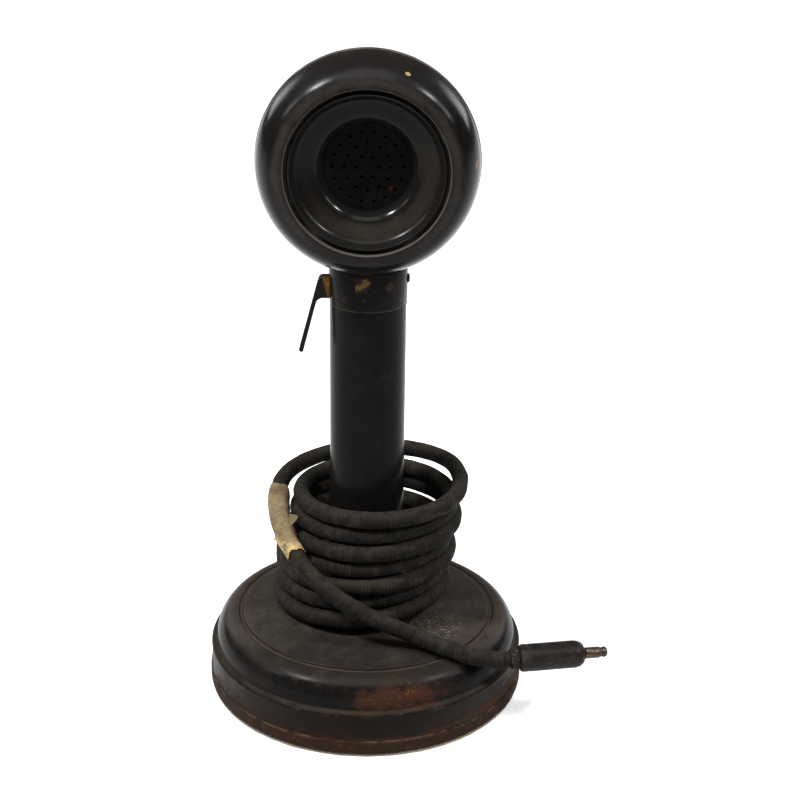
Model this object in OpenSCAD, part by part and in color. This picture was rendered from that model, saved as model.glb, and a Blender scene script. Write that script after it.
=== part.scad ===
// Desk-stand transmitter: a candlestick stand with a weighted base, a tilting
// carbon transmitter head, a squeeze-to-talk lever and a plug on a cloth cord.
// Millimetres. The stand rests on z = 0, +Z is up and the mouthpiece faces -Y.

/* [Base] */
// Diameter of the foot over the rim of the bottom pan
base_d = 149.4; // [140:0.2:160]
// Thickness of the felt pad
felt_t = 1.5; // [1:0.1:2.5]
// Thickness of the pan's floor
pan_floor = 2.2; // [2:0.1:3]
// Wall of the pan's upturned rim
pan_wall = 2.1; // [1.8:0.1:3]
// Height of the rim's upper edge above the table
pan_rim_z = 8.4; // [7:0.1:10]
// Wall of the spun shell
shell_wall = 1.8; // [1.2:0.1:2.2]
// How far the shell's lower edge stands in from the rim
shell_setback = 0.4; // [0.2:0.1:0.8]
// How far the skirt draws in on its way up to the bead
skirt_taper = 0.8; // [0.2:0.1:2]
// Height of the bead round the skirt
bead_z = 20.2; // [18:0.1:21.5]
// How far the wall steps in above the bead
bead_step = 2.3; // [1.5:0.1:3]
// Height at which the rounded shoulder begins
shoulder_z = 23.7; // [23:0.1:26]
// Width of the rounded shoulder
shoulder_w = 10.2; // [8:0.2:14]
// Height of the rounded shoulder
shoulder_h = 11.7; // [10:0.1:13]
// Rise of the deck from its groove to the stem
deck_rise = 3; // [1:0.1:5]
// Thickness of the cast ballast ring
ballast_t = 7.8; // [6:0.1:8]
// Inner diameter of the ballast ring
ballast_bore = 60; // [50:1:80]

/* [Stem] */
// Outer diameter of the stem tube
stem_d = 34.2; // [30:0.1:37]
// Wall of the stem tube
stem_wall = 2; // [1.8:0.1:2.4]
// Height of the collar's lower edge
collar_z = 189.1; // [180:0.1:200]
// Height of the collar
collar_h = 18.9; // [17:0.1:22]
// How far the collar stands proud of the stem
collar_step = 0.35; // [0.2:0.05:0.6]
// Thickness of the collar's closed top
cap_roof = 2.5; // [2:0.1:3]
// Diameter of the flange at the foot of the stem
foot_d = 46; // [42:1:48]
// Height of the flange at the foot of the stem
foot_h = 4.2; // [3:0.1:6]

/* [Talk lever] */
// Width of the lever
lever_w = 6; // [5:0.1:7]
// Thickness of the finger piece
finger_t = 2.1; // [1.6:0.1:2.6]
// Length of the finger piece below the arm
finger_l = 33; // [28:0.5:38]
// Lean of the finger piece away from the stem
finger_lean = 14.8; // [12:0.1:20]
// Height of the arm where it leaves the stem
arm_h = 9.6; // [8:0.1:10]
// How far the lever's corner stands out from the stem
arm_reach = 5.4; // [4.5:0.1:8]
// Squeeze of the lever from rest to its stop
lever_travel = 12; // [8:1:12]
// Diameter of the lever's pin
lever_pin_d = 3; // [2.5:0.1:3.4]

/* [Head] */
// Diameter of the face dome over its rim
dome_d = 95.2; // [90:0.2:100]
// Depth of the face dome from its rim to its lip
dome_depth = 23.4; // [20:0.1:26]
// Wall of the face dome
dome_wall = 1.6; // [1.2:0.1:2]
// Diameter of the lip round the mouthpiece
lip_d = 70.6; // [68:0.2:73]
// Diameter of the back cup
cup_d = 66; // [62:0.5:68]
// Depth of the back cup behind the stem's centre
cup_back = 9; // [7:0.5:12]
// Wall of the back cup
cup_wall = 1.2; // [1:0.1:1.8]
// Height of the tilt screw above the collar
ear_rise = 6; // [5.8:0.1:7]
// Radius of the ears' rounded ends
ear_r = 5.2; // [4.5:0.1:5.5]
// Thickness of one ear
ear_t = 3; // [2:0.1:4]
// Distance of the tilt screw behind the stem's centre
pivot_y = 8; // [6:0.5:9]
// Diameter of the tilt screw
tilt_screw_d = 5; // [4:0.1:6]

/* [Mouthpiece] */
// Diameter of the mouthpiece
mouth_d = 66.2; // [65:0.2:67]
// How far the mouthpiece's shoulder sits below the lip
mouth_sink = 2.8; // [2.6:0.1:3.6]
// How far the mouthpiece's rim stands above its shoulder
mouth_rise = 1.9; // [1:0.1:2.2]
// Diameter of the throat at its upper edge
throat_d = 39.8; // [37:0.2:42]
// Depth of the speech holes' plate behind the lip
throat_depth = 14; // [13.5:0.1:14.6]
// Diameter of one speech hole
speech_hole_d = 1.5; // [1.2:0.1:1.8]
// Speech holes in the innermost ring, with as many again in each ring outwards
speech_holes = 6; // [5:1:7]
// Step from one ring of speech holes to the next
speech_ring_step = 5; // [4.6:0.1:5.2]

/* [Cord and plug] */
// Diameter of the braided cord
cord_d = 7.8; // [7.4:0.1:7.9]
// Pitch of the turns wound round the stem
coil_pitch = 8.35; // [8.35:0.05:9]
// Radius of the lowest turn
coil_r = 37.6; // [37.4:0.1:38.2]
// Diameter of the plug's shell
plug_d = 12.5; // [12:0.1:13.5]
// Length of the plug's shell
plug_l = 30.1; // [28:0.1:34]
// Diameter of the plug's sleeve contact
sleeve_d = 5.2; // [5:0.1:5.4]
// Length of the sleeve contact outside the shell
sleeve_l = 7.3; // [6:0.1:9]

/* [Hidden] */
$fn = 64;

// Clearances: running fit of a pin, slip fit of nested parts, free space
run_fit = 0.05;
slip_fit = 0.1;
free_gap = 0.3;

// Base, worked out from the foot upwards
base_r = base_d / 2;
pan_top = felt_t + pan_floor;
skirt_foot_r = base_r - shell_setback;
bead_r = skirt_foot_r - skirt_taper;
wall_r = bead_r - bead_step;
groove_r = wall_r - shoulder_w;
groove_z = shoulder_z + shoulder_h;
deck_z = groove_z + deck_rise;
deck_flat_r = foot_d / 2 + 1;
ballast_r = bead_r - shell_wall - free_gap;
ballast_top = pan_top + ballast_t;
pan_screw_ring = (ballast_r + ballast_bore / 2) / 2;
pan_screw_r = 2;
pan_screw_head_r = 3.6;
pan_screw_head_h = 1.2;

// Cord entry at the back of the skirt
entry_z = 16;
bush_neck_r = 5.2;
bush_flange_r = 7.2;
bush_flange_t = 2.2;
bush_seat_y = skirt_foot_r;
bush_end_y = bush_seat_y + bush_flange_t;
bush_nut_t = 3;
bush_nut_r = 7.2;
bush_nut_y = sqrt(pow(wall_r + 0.3 - shell_wall, 2) - pow(bush_nut_r / 2, 2)) - 0.2;
bush_tail_y = bush_nut_y - bush_nut_t - 0.5;
clamp_y = bush_tail_y - 5;
clamp_l = 8;
cord_inner_y = clamp_y - clamp_l / 2 - 1;
terminal_h = 8;
terminal_l = 34;
terminal_depth = 20;
terminal_pitch = 8.5;
terminal_screw_r = 2.8;

// Stem
stem_r = stem_d / 2;
stem_bore_r = stem_r - stem_wall;
collar_r = stem_r + collar_step;
cap_top_z = collar_z + collar_h;
cap_wall = stem_wall / 2 + collar_step;
spigot_r = collar_r - cap_wall - run_fit;
stem_top_z = cap_top_z - cap_roof;
stem_washer_t = 2;
stem_nut_h = 7;
stem_nut_r = (stem_r + 2.8) / cos(30);
stem_bottom_z = deck_z - shell_wall - stem_washer_t - stem_nut_h - 3;

// Talk lever: its pin lies along Y inside the collar
lever_pin_r = lever_pin_d / 2;
lever_pin_x = -8;
lever_pin_z = collar_z + 6.9;
hub_r = 4.7;
arm_top_z = lever_pin_z + hub_r;
arm_low_z = arm_top_z - arm_h;
corner_x = -(stem_r + arm_reach);
corner_r = 2.6;
web_r = 3.2;
slot_half_w = lever_w / 2 + 0.5;
stud_drop = 15;
stud_r = 1.6;
stud_hole_r = 0.9;
tail_x = lever_pin_x - 1;
tail_w = 3;
slot_low_z = arm_low_z - 2.4;
slot_top_z = arm_top_z + 0.6;

// Contact spring pile on its frame
blade_t = 0.6;
blade_w = 5;
cheek_t = 1.8;
cheek_in = slot_half_w;
cheek_out = cheek_in + cheek_t;
web_x = 10.5;
web_t = 2;
frame_top_z = stem_top_z - 2;
pile_top_z = collar_z - 26.1;
pile_h = 16;
pile_half_w = 4.5;
pile_screw_r = 1.25;
pile_sleeve_r = 1.6;
pile_plate_t = 1.4;
stud_x = tail_x + tail_w;
stud_len = 1;
blade_x = stud_x + stud_len + free_gap;
// The moving blade bends about its clamped root, turning less than the lever
blade_ratio = 0.8;
contact_h = 0.8;
contact_z = pile_top_z + 25;
contact_swing = lever_travel * blade_ratio;
fixed_x = blade_x + blade_t + 2 * contact_h
  + (contact_z - pile_top_z) * sin(contact_swing) + free_gap;
cap_screw_z = cap_top_z - 7.8;

// Head: its axis runs along Y, and d is depth forwards of the stem's centre
dome_r = dome_d / 2;
rim_gap = 0.8;
head_z = cap_top_z + rim_gap + dome_r;
rim_w = 2.5;
rim_back = collar_r + 0.15;
rim_front = rim_back + rim_w;
lip_front = rim_back + dome_depth;
lip_r = lip_d / 2;
dome_front_r = dome_r - 0.3;
neck_r = mouth_d / 2 + slip_fit * 2;
neck_wall = 2.4;
neck_back = lip_front - 14.5;
ledge = 0.8;
flange_t = 1.4;
flange_r = dome_r - dome_wall - slip_fit;
boss_screw_r = 1.1;
cup_screw_l = flange_t + 5;
cup_r = cup_d / 2;
cup_corner = 6;
pivot_z = cap_top_z + ear_rise;
tilt_r = tilt_screw_d / 2;
lug_half = 4;
ear_gap = 0.25;
ear_in = lug_half + ear_gap;
ear_out = ear_in + ear_t;
saddle_t = 2.2;
saddle_half = 8;

// Mouthpiece and what lies behind it, as depths
mouth_r = mouth_d / 2;
mouth_top = lip_front - mouth_sink;
mouth_rim = mouth_top + mouth_rise;
plate_front = lip_front - throat_depth;
plate_t = 1.6;
throat_r = throat_d / 2;
plate_r = throat_r - 1.3;
gasket_t = 2.2;
gasket_r = neck_r + 3.6;
diaphragm_t = 0.5;
diaphragm_front = neck_back - gasket_t;
diaphragm_r = gasket_r - 0.6;
// The dome's bosses stand midway between the gasket and the wall
boss_ring = (gasket_r + flange_r) / 2;
boss_r = 2.8;
bridge_t = 2.5;
bridge_w = 14;
bridge_back = rim_back + ledge + free_gap;
bridge_half_l = boss_ring + 2.4;
bridge_screw_l = bridge_t + 4;
button_r = 11;
button_l = 9.5;
button_neck_r = 4.9;

// Plug: where the cord enters it, and its turn from the X axis
plug_pos = [70.6, -46, 35];
plug_turn = 10;
plug_dir = [cos(plug_turn), sin(plug_turn), 0];
whip_l = 4.5;
plug_root = 12;
sleeve_r = sleeve_d / 2;
sleeve_neck_r = sleeve_r - 0.35;
sleeve_step = 0.4;
core_r = 1.6;
tip_rod_r = 0.9;
ring_l = 0.8;
tip_l = 2.5;

// Coil wound round the stem: a rising helix that leans to the right, draws in
// slightly, has its lowest turn tilted, and steps in and out from turn to turn
coil_turns = 6.5;
coil_foot_x = -3.2;
coil_lean = 9.2;
coil_back = 6.6;
coil_draw_in = 1.5;
coil_weave = 1.4;
coil_tilt = 2;
coil_foot_z = 43.6;
coil_rings = 24;
coil_sides = 6;
cord_sides = 8;

// Free stretch from the skirt up to the coil, points chosen by hand
LEAD = [
  [0, 76, 16], [0, 84, 15.6], [-1, 94, 13.5], [-6, 104, 9.5], [-15, 111, 6],
  [-26, 112.5, 4.4], [-36, 107, 6.2], [-41.8, 97, 12], [-43.8, 87, 19.8], [-44.4, 77, 27.8],
  [-44.2, 67, 34.2], [-43.6, 57, 38.2], [-42.8, 46, 40], [-41.8, 35, 40.7]
];
// Free stretch from the coil round the back and down across the front
TAIL = [
  [40, 32, 96.9], [31, 41.8, 97.3], [18.5, 47.8, 97.4], [4, 50, 97.1], [-10, 48, 96.6],
  [-23, 42, 95.9], [-33.2, 32.2, 95.2], [-39.6, 20.2, 94.2], [-42, 8, 91.5], [-41.2, -4.2, 86.5],
  [-37.6, -15.3, 81], [-32, -24.8, 75], [-24, -33, 68.5], [-14, -38.6, 62], [-3, -41.5, 55.8],
  [8.5, -42, 50], [20, -41.8, 44.9], [31, -44.5, 41.2], [41, -48, 39.5], [50, -49.6, 37.5],
  [58, -48.6, 35.6]
];
// The paper label is wrapped round the tail between these two points of it
TAPE_FROM = 10;
TAPE_TO = 13;
tape_t = 0.7;
// Inner leads, from the cord to the terminals and from there up the stem
lead_r = 1.1;
// The leads end beside the heads of the terminal screws
lead_stop_y = terminal_depth * 0.1 + terminal_screw_r + lead_r + free_gap;
SHORT_LEAD = [[-3, 40, 17], [-8, 26, 18], [-10, 14, 17.5], [-8.5, 7, 15.5]];
LONG_LEAD = [
  [8.5, 3, 16], [10.5, 2, 21], [10.5, 0, 30], [8, 0, 50], [5, 0, 80], [3, 0, 110], [2, 0, 130]
];

// ---------- helpers ----------

// Points of an elliptic arc
function arc(cx, cy, rx, ry, a0, a1, n) =
  [for (i = [0:n]) let (a = a0 + (a1 - a0) * i / n) [cx + rx * cos(a), cy + ry * sin(a)]];

function unit(v) = v / norm(v);

// Direction of a route at its point i
function heading(p, i) =
  unit(p[min(i + 1, len(p) - 1)] - p[max(i - 1, 0)]);

// Solid tube of radius r along the points p, flat at both ends
module tube(p, r, sides) {
  n = len(p);
  rings = [
    for (i = [0:n - 1])
      let (t = heading(p, i), s = unit(cross(t, [0, 0, 1])), u = cross(s, t))
        for (k = [0:sides - 1])
          let (a = 360 * k / sides) p[i] + r * (cos(a) * s + sin(a) * u)
  ];
  side_faces = [
    for (i = [0:n - 2], k = [0:sides - 1])
      let (a = i * sides + k, b = i * sides + (k + 1) % sides)
        for (f = [[a, a + sides, b], [b, a + sides, b + sides]]) f
  ];
  start_cap = [for (k = [1:sides - 2]) [0, k, k + 1]];
  e = (n - 1) * sides;
  end_cap = [for (k = [1:sides - 2]) [e, e + k + 1, e + k]];
  polyhedron(points = rings, faces = concat(side_faces, start_cap, end_cap));
}

// Coil centre line after t turns
function coil_point(t) =
  let (
    a = 180 + 360 * t,
    k = t / coil_turns,
    r = coil_r - coil_draw_in * k + coil_weave * sin(180 * t)
  )
    [coil_foot_x + coil_lean * k + r * cos(a), coil_back + r * sin(a),
     coil_foot_z + coil_pitch * t + coil_tilt * (1 - k) * cos(a)];
function coil_heading(t) = unit(coil_point(t + 0.001) - coil_point(t - 0.001));
coil_start = coil_point(0) - coil_heading(0) * cord_d;
coil_end = coil_point(coil_turns) + coil_heading(coil_turns) * cord_d;
coil_route = concat(
  [coil_start],
  [for (i = [0:coil_turns * coil_rings]) coil_point(i / coil_rings)],
  [coil_end]
);
lead_route = concat(
  [[0, cord_inner_y, entry_z], [0, bush_tail_y, entry_z]],
  LEAD,
  [coil_start - coil_heading(0) * cord_d, coil_start]
);
tail_route = concat(
  [coil_end, coil_end + coil_heading(coil_turns) * cord_d],
  TAIL,
  [plug_pos - plug_dir * cord_d, plug_pos]
);
tape_route = [for (i = [TAPE_FROM:TAPE_TO]) tail_route[i]];

// Least gap of the wound cord to itself
coil_gap = min([
  for (i = [0:coil_turns * coil_rings])
    for (j = [i + 16:1:coil_turns * coil_rings])
      norm(coil_point(i / coil_rings) - coil_point(j / coil_rings))
]) - cord_d;
function route_length(p) = len(p) < 2 ? 0 :
  [for (i = 0, s = 0; i < len(p); s = s + (i + 1 < len(p) ? norm(p[i + 1] - p[i]) : 0), i = i + 1) s][len(p) - 1];
echo("least gap of the coil to itself, mm", coil_gap);
echo("cord length from bushing to plug, mm", route_length(lead_route) + route_length(coil_route)
  + route_length(tail_route));

// Places children with their z axis along the head's axis, at depth d
module at_head(d = 0) {
  translate([0, -d, head_z]) rotate([90, 0, 0]) children();
}

// Places children on the plug's axis, z outwards from the cord
module at_plug(l = 0) {
  translate(plug_pos + plug_dir * l) rotate([0, 0, plug_turn]) rotate([0, 90, 0]) children();
}

// Ring of revolution between two radii and two heights
module ring(r_in, r_out, z0, z1) {
  rotate_extrude() polygon([[r_in, z0], [r_out, z0], [r_out, z1], [r_in, z1]]);
}

// Round screw: a domed, slotted head above z = 0 and a shank below it
module screw(head_r, head_h, shank_r, shank_l, slot = true) {
  difference() {
    rotate_extrude()
      polygon([
        [0, -shank_l], [shank_r, -shank_l], [shank_r, 0], [head_r, 0],
        [head_r, head_h * 0.4], [head_r * 0.8, head_h * 0.85], [head_r * 0.45, head_h], [0, head_h]
      ]);
    if (slot)
      translate([-head_r, -head_r * 0.13, head_h * 0.45])
        cube([head_r * 2, head_r * 0.26, head_h]);
  }
}

// ---------- base ----------

module felt_pad() {
  color("#6f6a58") cylinder(r = base_r - 0.7, h = felt_t, $fn = 96);
}

module base_pan() {
  color("#5a2f1c") difference() {
    rotate_extrude($fn = 96)
      polygon([
        [0, felt_t], [base_r - 0.9, felt_t], [base_r - 0.2, felt_t + 0.6], [base_r, felt_t + 1.6],
        [base_r, pan_rim_z - 0.8], [base_r - 0.3, pan_rim_z], [base_r - pan_wall, pan_rim_z],
        [base_r - pan_wall, pan_top], [0, pan_top]
      ]);
    pan_screw_places() {
      cylinder(r = pan_screw_head_r + slip_fit, h = pan_screw_head_h + slip_fit);
      cylinder(r = pan_screw_r + slip_fit, h = pan_floor * 2);
    }
  }
}

module pan_screw_places() {
  for (a = [30, 150, 270])
    rotate([0, 0, a]) translate([pan_screw_ring, 0, felt_t]) children();
}

module pan_screws() {
  color("#8b8d8f") pan_screw_places() {
    cylinder(r = pan_screw_head_r, h = pan_screw_head_h);
    cylinder(r = pan_screw_r, h = pan_floor + ballast_t - 1);
  }
}

module ballast_ring() {
  color("#3d3d3f") difference() {
    rotate_extrude($fn = 96)
      polygon([
        [ballast_bore / 2, pan_top], [ballast_r, pan_top], [ballast_r, ballast_top - 2],
        [ballast_r - 2, ballast_top], [ballast_bore / 2 + 1.5, ballast_top],
        [ballast_bore / 2, ballast_top - 1.5]
      ]);
    pan_screw_places() cylinder(r = pan_screw_r + run_fit, h = ballast_top);
    clamp_screw_places() translate([0, 0, -7]) cylinder(r = 1.5 + run_fit, h = 8);
    translate([-bush_nut_r - 0.8, bush_tail_y - 0.5, entry_z - bush_nut_r - 0.5])
      cube([bush_nut_r * 2 + 1.6, base_r, ballast_t]);
  }
}

module base_shell() {
  outer = concat(
    [
      [skirt_foot_r, pan_rim_z], [bead_r, bead_z - 1.1], [bead_r + 0.35, bead_z - 0.6],
      [bead_r + 0.45, bead_z], [bead_r + 0.3, bead_z + 0.6], [bead_r - 0.2, bead_z + 1.2],
      [wall_r + 0.3, bead_z + 2]
    ],
    arc(groove_r, shoulder_z, shoulder_w, shoulder_h, 0, 90, 12),
    [
      [groove_r - 0.5, groove_z - 0.5], [groove_r - 1.2, groove_z - 0.4],
      [groove_r - 1.7, groove_z + 0.3], [groove_r - 2.5, groove_z + 0.6],
      [deck_flat_r, deck_z], [stem_r + slip_fit, deck_z]
    ]
  );
  inner = concat(
    [
      [stem_r + slip_fit, deck_z - shell_wall], [deck_flat_r, deck_z - shell_wall],
      [groove_r - 2.5, groove_z + 0.6 - shell_wall]
    ],
    arc(groove_r, shoulder_z, shoulder_w - shell_wall, shoulder_h - shell_wall, 90, 0, 12),
    [
      [wall_r + 0.3 - shell_wall, bead_z + 2], [bead_r - shell_wall, bead_z - 1.1],
      [skirt_foot_r - shell_wall, pan_rim_z]
    ]
  );
  color("#1b1b1d") difference() {
    rotate_extrude($fn = 96) polygon(concat(outer, inner));
    translate([0, 0, entry_z]) rotate([-90, 0, 0])
      cylinder(r = bush_neck_r + slip_fit, h = base_d);
  }
}

module cord_bushing() {
  color("#26201c") translate([0, 0, entry_z]) rotate([-90, 0, 0]) difference() {
    rotate_extrude()
      polygon([
        [0, bush_tail_y], [bush_neck_r, bush_tail_y], [bush_neck_r, bush_seat_y],
        [bush_flange_r, bush_seat_y], [bush_flange_r, bush_end_y - 0.8],
        [bush_flange_r - 0.8, bush_end_y], [0, bush_end_y]
      ]);
    cylinder(r = cord_d / 2, h = base_d);
  }
}

module bushing_nut() {
  color("#a07b3c") translate([0, bush_nut_y - bush_nut_t, entry_z]) rotate([-90, 0, 0])
    difference() {
      cylinder(r = bush_nut_r, h = bush_nut_t, $fn = 6);
      translate([0, 0, -1]) cylinder(r = bush_neck_r + run_fit, h = bush_nut_t + 2);
    }
}

clamp_strap_r = cord_d / 2 + 1.3;
clamp_ear_x = clamp_strap_r + 4.2;
clamp_ear_t = 1.4;

module cord_clamp() {
  color("#8c6a33") translate([0, clamp_y, 0]) difference() {
    union() {
      translate([-clamp_ear_x - 3.4, -clamp_l / 2, ballast_top])
        cube([2 * clamp_ear_x + 6.8, clamp_l, clamp_ear_t]);
      translate([0, clamp_l / 2, entry_z]) rotate([90, 0, 0])
        cylinder(r = clamp_strap_r, h = clamp_l);
    }
    translate([0, clamp_l, entry_z]) rotate([90, 0, 0])
      cylinder(r = cord_d / 2 + 0.05, h = clamp_l * 2);
    translate([-clamp_strap_r, -clamp_l, ballast_top - 10])
      cube([2 * clamp_strap_r, clamp_l * 2, 10]);
    for (s = [-1, 1])
      translate([s * clamp_ear_x, 0, ballast_top - 1]) cylinder(r = 1.6, h = 5);
  }
}

module clamp_screw_places() {
  for (s = [-1, 1])
    translate([s * clamp_ear_x, clamp_y, ballast_top]) children();
}

module clamp_screws() {
  color("#b9975a") clamp_screw_places() translate([0, 0, clamp_ear_t])
    screw(2.8, 1.8, 1.5, clamp_ear_t + 5);
}

module terminal_places() {
  for (x = [-1.5, -0.5, 0.5, 1.5])
    translate([x * terminal_pitch, terminal_depth * 0.1, pan_top + terminal_h]) children();
}

module terminal_block() {
  color("#241a14") difference() {
    translate([-terminal_l / 2, -terminal_depth / 2, pan_top])
      cube([terminal_l, terminal_depth, terminal_h]);
    terminal_places() translate([0, 0, -6]) cylinder(r = 1.3, h = 10);
    for (x = [-1:1])
      translate([x * terminal_pitch - 0.6, -terminal_depth, pan_top + terminal_h - 1.2])
        cube([1.2, terminal_depth * 2, 3]);
  }
}

module terminal_screws() {
  color("#b9975a") terminal_places() screw(terminal_screw_r, 1.9, 1.3, 5.5);
}

module base_leads() {
  color("#7a5a34") tube(concat(
    [[-2, cord_inner_y - slip_fit, entry_z], [-2, cord_inner_y - 4, entry_z]], SHORT_LEAD,
    [[-terminal_pitch / 2, lead_stop_y, pan_top + terminal_h + 1.3]]), lead_r, 6);
}

module stem_leads() {
  color("#4c6a3c") tube(concat(
    [[terminal_pitch / 2, lead_stop_y, pan_top + terminal_h + 1.3]],
    LONG_LEAD,
    [[fixed_x - 3, 0, pile_top_z - pile_h - 9]]), lead_r, 6);
}

// ---------- stem ----------

module lever_slot() {
  translate([-stem_d, -slot_half_w, slot_low_z])
    cube([stem_d + lever_pin_x, slot_half_w * 2, slot_top_z - slot_low_z]);
}

module side_screw_hole(r) {
  translate([0, 0, cap_screw_z]) {
    rotate([0, 90, 0]) cylinder(r = r, h = stem_d);
    rotate([-90, 0, 0]) cylinder(r = r, h = stem_d);
  }
}

module stem_tube() {
  color("#1a1a1c") difference() {
    rotate_extrude()
      polygon([
        [stem_bore_r, stem_bottom_z], [stem_r, stem_bottom_z], [stem_r, collar_z],
        [spigot_r, collar_z], [spigot_r, stem_top_z], [stem_bore_r, stem_top_z]
      ]);
    lever_slot();
    side_screw_hole(1.6);
  }
}

module stem_foot() {
  foot_r = foot_d / 2;
  in_r = stem_r + slip_fit;
  color("#1a1a1c") rotate_extrude()
    polygon(concat(
      [[in_r, deck_z], [foot_r, deck_z], [foot_r, deck_z + 1.4]],
      arc(foot_r, deck_z + foot_h, foot_r - in_r - 1, foot_h - 1.6, 262, 188, 6),
      [[in_r, deck_z + foot_h]]
    ));
}

module stem_washer() {
  color("#77797b") ring(stem_r + slip_fit, foot_d / 2 - 0.5,
    deck_z - shell_wall - stem_washer_t, deck_z - shell_wall);
}

module stem_nut() {
  color("#8c6a33")
    translate([0, 0, deck_z - shell_wall - stem_washer_t - stem_nut_h]) difference() {
      cylinder(r = stem_nut_r, h = stem_nut_h, $fn = 6);
      translate([0, 0, -1]) cylinder(r = stem_r + run_fit, h = stem_nut_h + 2);
    }
}

module stem_cap() {
  color("#1c1a19") difference() {
    union() {
      rotate_extrude()
        polygon(concat(
          [[0, stem_top_z], [spigot_r + run_fit, stem_top_z], [spigot_r + run_fit, collar_z],
           [collar_r - 0.15, collar_z], [collar_r, collar_z + 0.3]],
          arc(collar_r - 2, cap_top_z - 2, 2, 2, 0, 90, 5),
          [[0, cap_top_z]]
        ));
      for (s = [-1, 1])
        translate([s > 0 ? ear_in : -ear_out, pivot_y, pivot_z]) rotate([90, 0, 90]) {
          cylinder(r = ear_r, h = ear_t);
          translate([-ear_r, -ear_rise - 0.5, 0]) cube([ear_r * 2, ear_rise + 0.5, ear_t]);
        }
    }
    lever_slot();
    side_screw_hole(1.6);
    translate([-ear_out - 1, pivot_y, pivot_z]) rotate([0, 90, 0])
      cylinder(r = tilt_r + run_fit, h = 2 * ear_out + 2);
    translate([0, -6, stem_top_z - 1]) cylinder(r = 2.2, h = cap_roof + 2);
  }
}

module cap_screws() {
  color("#7b5a2e") translate([0, 0, cap_screw_z]) {
    translate([collar_r, 0, 0]) rotate([0, 90, 0]) screw(2.1, 1, 1.5, collar_r - web_x);
    translate([0, collar_r, 0]) rotate([-90, 0, 0]) screw(2.1, 1, 1.5, collar_r - cheek_out + 0.8);
  }
}

module tilt_screw() {
  color("#8f8f8c") translate([ear_out, pivot_y, pivot_z]) rotate([0, 90, 0])
    screw(4.2, 2.4, tilt_r, 2 * ear_out + 5.5);
}

module tilt_nut() {
  color("#2a2624") translate([-ear_out, pivot_y, pivot_z]) rotate([0, -90, 0]) difference() {
    union() {
      cylinder(r = 4.8, h = 1);
      cylinder(r = 4.6, h = 4, $fn = 6);
    }
    translate([0, 0, -1]) cylinder(r = tilt_r + run_fit, h = 7);
  }
}

// ---------- talk lever and contacts, inside the collar ----------

module along_y(w) {
  translate([0, w / 2, 0]) rotate([90, 0, 0]) linear_extrude(w) children();
}

module contact_frame() {
  color("#8d8168") difference() {
    union() {
      translate([web_x, -cheek_out, pile_top_z - pile_h - 1])
        cube([web_t, cheek_out * 2, frame_top_z - pile_top_z + pile_h + 1]);
      for (s = [-1, 1])
        translate([0, s * (cheek_in + cheek_t / 2), 0]) along_y(cheek_t)
          polygon([
            [lever_pin_x - 3.4, lever_pin_z - 3.4], [lever_pin_x - 3.4, lever_pin_z + 3.4],
            [lever_pin_x, frame_top_z], [web_x + 0.5, frame_top_z],
            [web_x + 0.5, lever_pin_z - 12], [web_x - 6, lever_pin_z - 5],
            [lever_pin_x, lever_pin_z - 5]
          ]);
      intersection() {
        cylinder(r = stem_bore_r - run_fit, h = stem_top_z);
        union() {
          translate([web_x, 0, cap_screw_z]) rotate([0, 90, 0]) cylinder(r = 3.2, h = stem_r);
          translate([0, cheek_in, cap_screw_z]) rotate([-90, 0, 0]) cylinder(r = 3.2, h = stem_r);
        }
      }
    }
    side_screw_hole(1.5 + run_fit);
    translate([lever_pin_x, cheek_out + 1, lever_pin_z]) rotate([90, 0, 0])
      cylinder(r = lever_pin_r, h = 2 * cheek_out + 2);
    pile_holes(pile_screw_r + run_fit);
  }
}

module lever_pin() {
  color("#9a9c9e") translate([lever_pin_x, cheek_out + 0.4, lever_pin_z]) rotate([90, 0, 0])
    cylinder(r = lever_pin_r, h = 2 * cheek_out + 0.8);
}

// Side outline of the lever: hub, arm through the slot, finger piece and inner tail
module lever_outline() {
  lean = [-sin(finger_lean), -cos(finger_lean)];
  inward = [cos(finger_lean), -sin(finger_lean)];
  corner = [corner_x + corner_r, arm_top_z - corner_r];
  top_out = corner + corner_r * [-cos(finger_lean), sin(finger_lean)];
  tip_out = top_out + lean * finger_l;
  root_in = top_out + inward * finger_t + lean * (arm_h + web_r * 0.55);
  tip_mid = tip_out + inward * finger_t / 2;
  web_c = [root_in[0] + web_r * cos(finger_lean) + 0.2, arm_low_z - web_r];
  polygon(concat(
    [[lever_pin_x, arm_top_z]],
    arc(corner[0], corner[1], corner_r, corner_r, 90, 180 - finger_lean, 6),
    [for (i = [0:6]) let (a = 180 - finger_lean + 30 * i)
      tip_mid + finger_t / 2 * [cos(a), sin(a)]],
    arc(web_c[0], web_c[1], web_r, web_r, 180 - finger_lean, 90, 6),
    [[lever_pin_x, arm_low_z]]
  ));
}

module talk_lever() {
  color("#3a2c17") difference() {
    union() {
      along_y(lever_w) lever_outline();
      translate([lever_pin_x, lever_w / 2, lever_pin_z]) rotate([90, 0, 0])
        cylinder(r = hub_r, h = lever_w);
      translate([tail_x, -lever_w / 2, lever_pin_z - stud_drop - 2.5])
        cube([tail_w, lever_w, stud_drop + 2.5]);
    }
    translate([lever_pin_x, lever_w, lever_pin_z]) rotate([90, 0, 0])
      cylinder(r = lever_pin_r + run_fit, h = lever_w * 2);
    translate([tail_x - 1, 0, lever_pin_z - stud_drop]) rotate([0, 90, 0])
      cylinder(r = stud_hole_r, h = tail_w + 2);
  }
}

module lever_stud() {
  lift = stud_r - stud_len;
  color("#b8a47a") translate([tail_x, 0, lever_pin_z - stud_drop]) rotate([0, 90, 0])
    rotate_extrude()
      polygon(concat(
        [[0, 0], [stud_hole_r - run_fit, 0], [stud_hole_r - run_fit, tail_w]],
        arc(0, tail_w - lift, stud_r, stud_r, asin(lift / stud_r), 90, 8)
      ));
}

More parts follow.
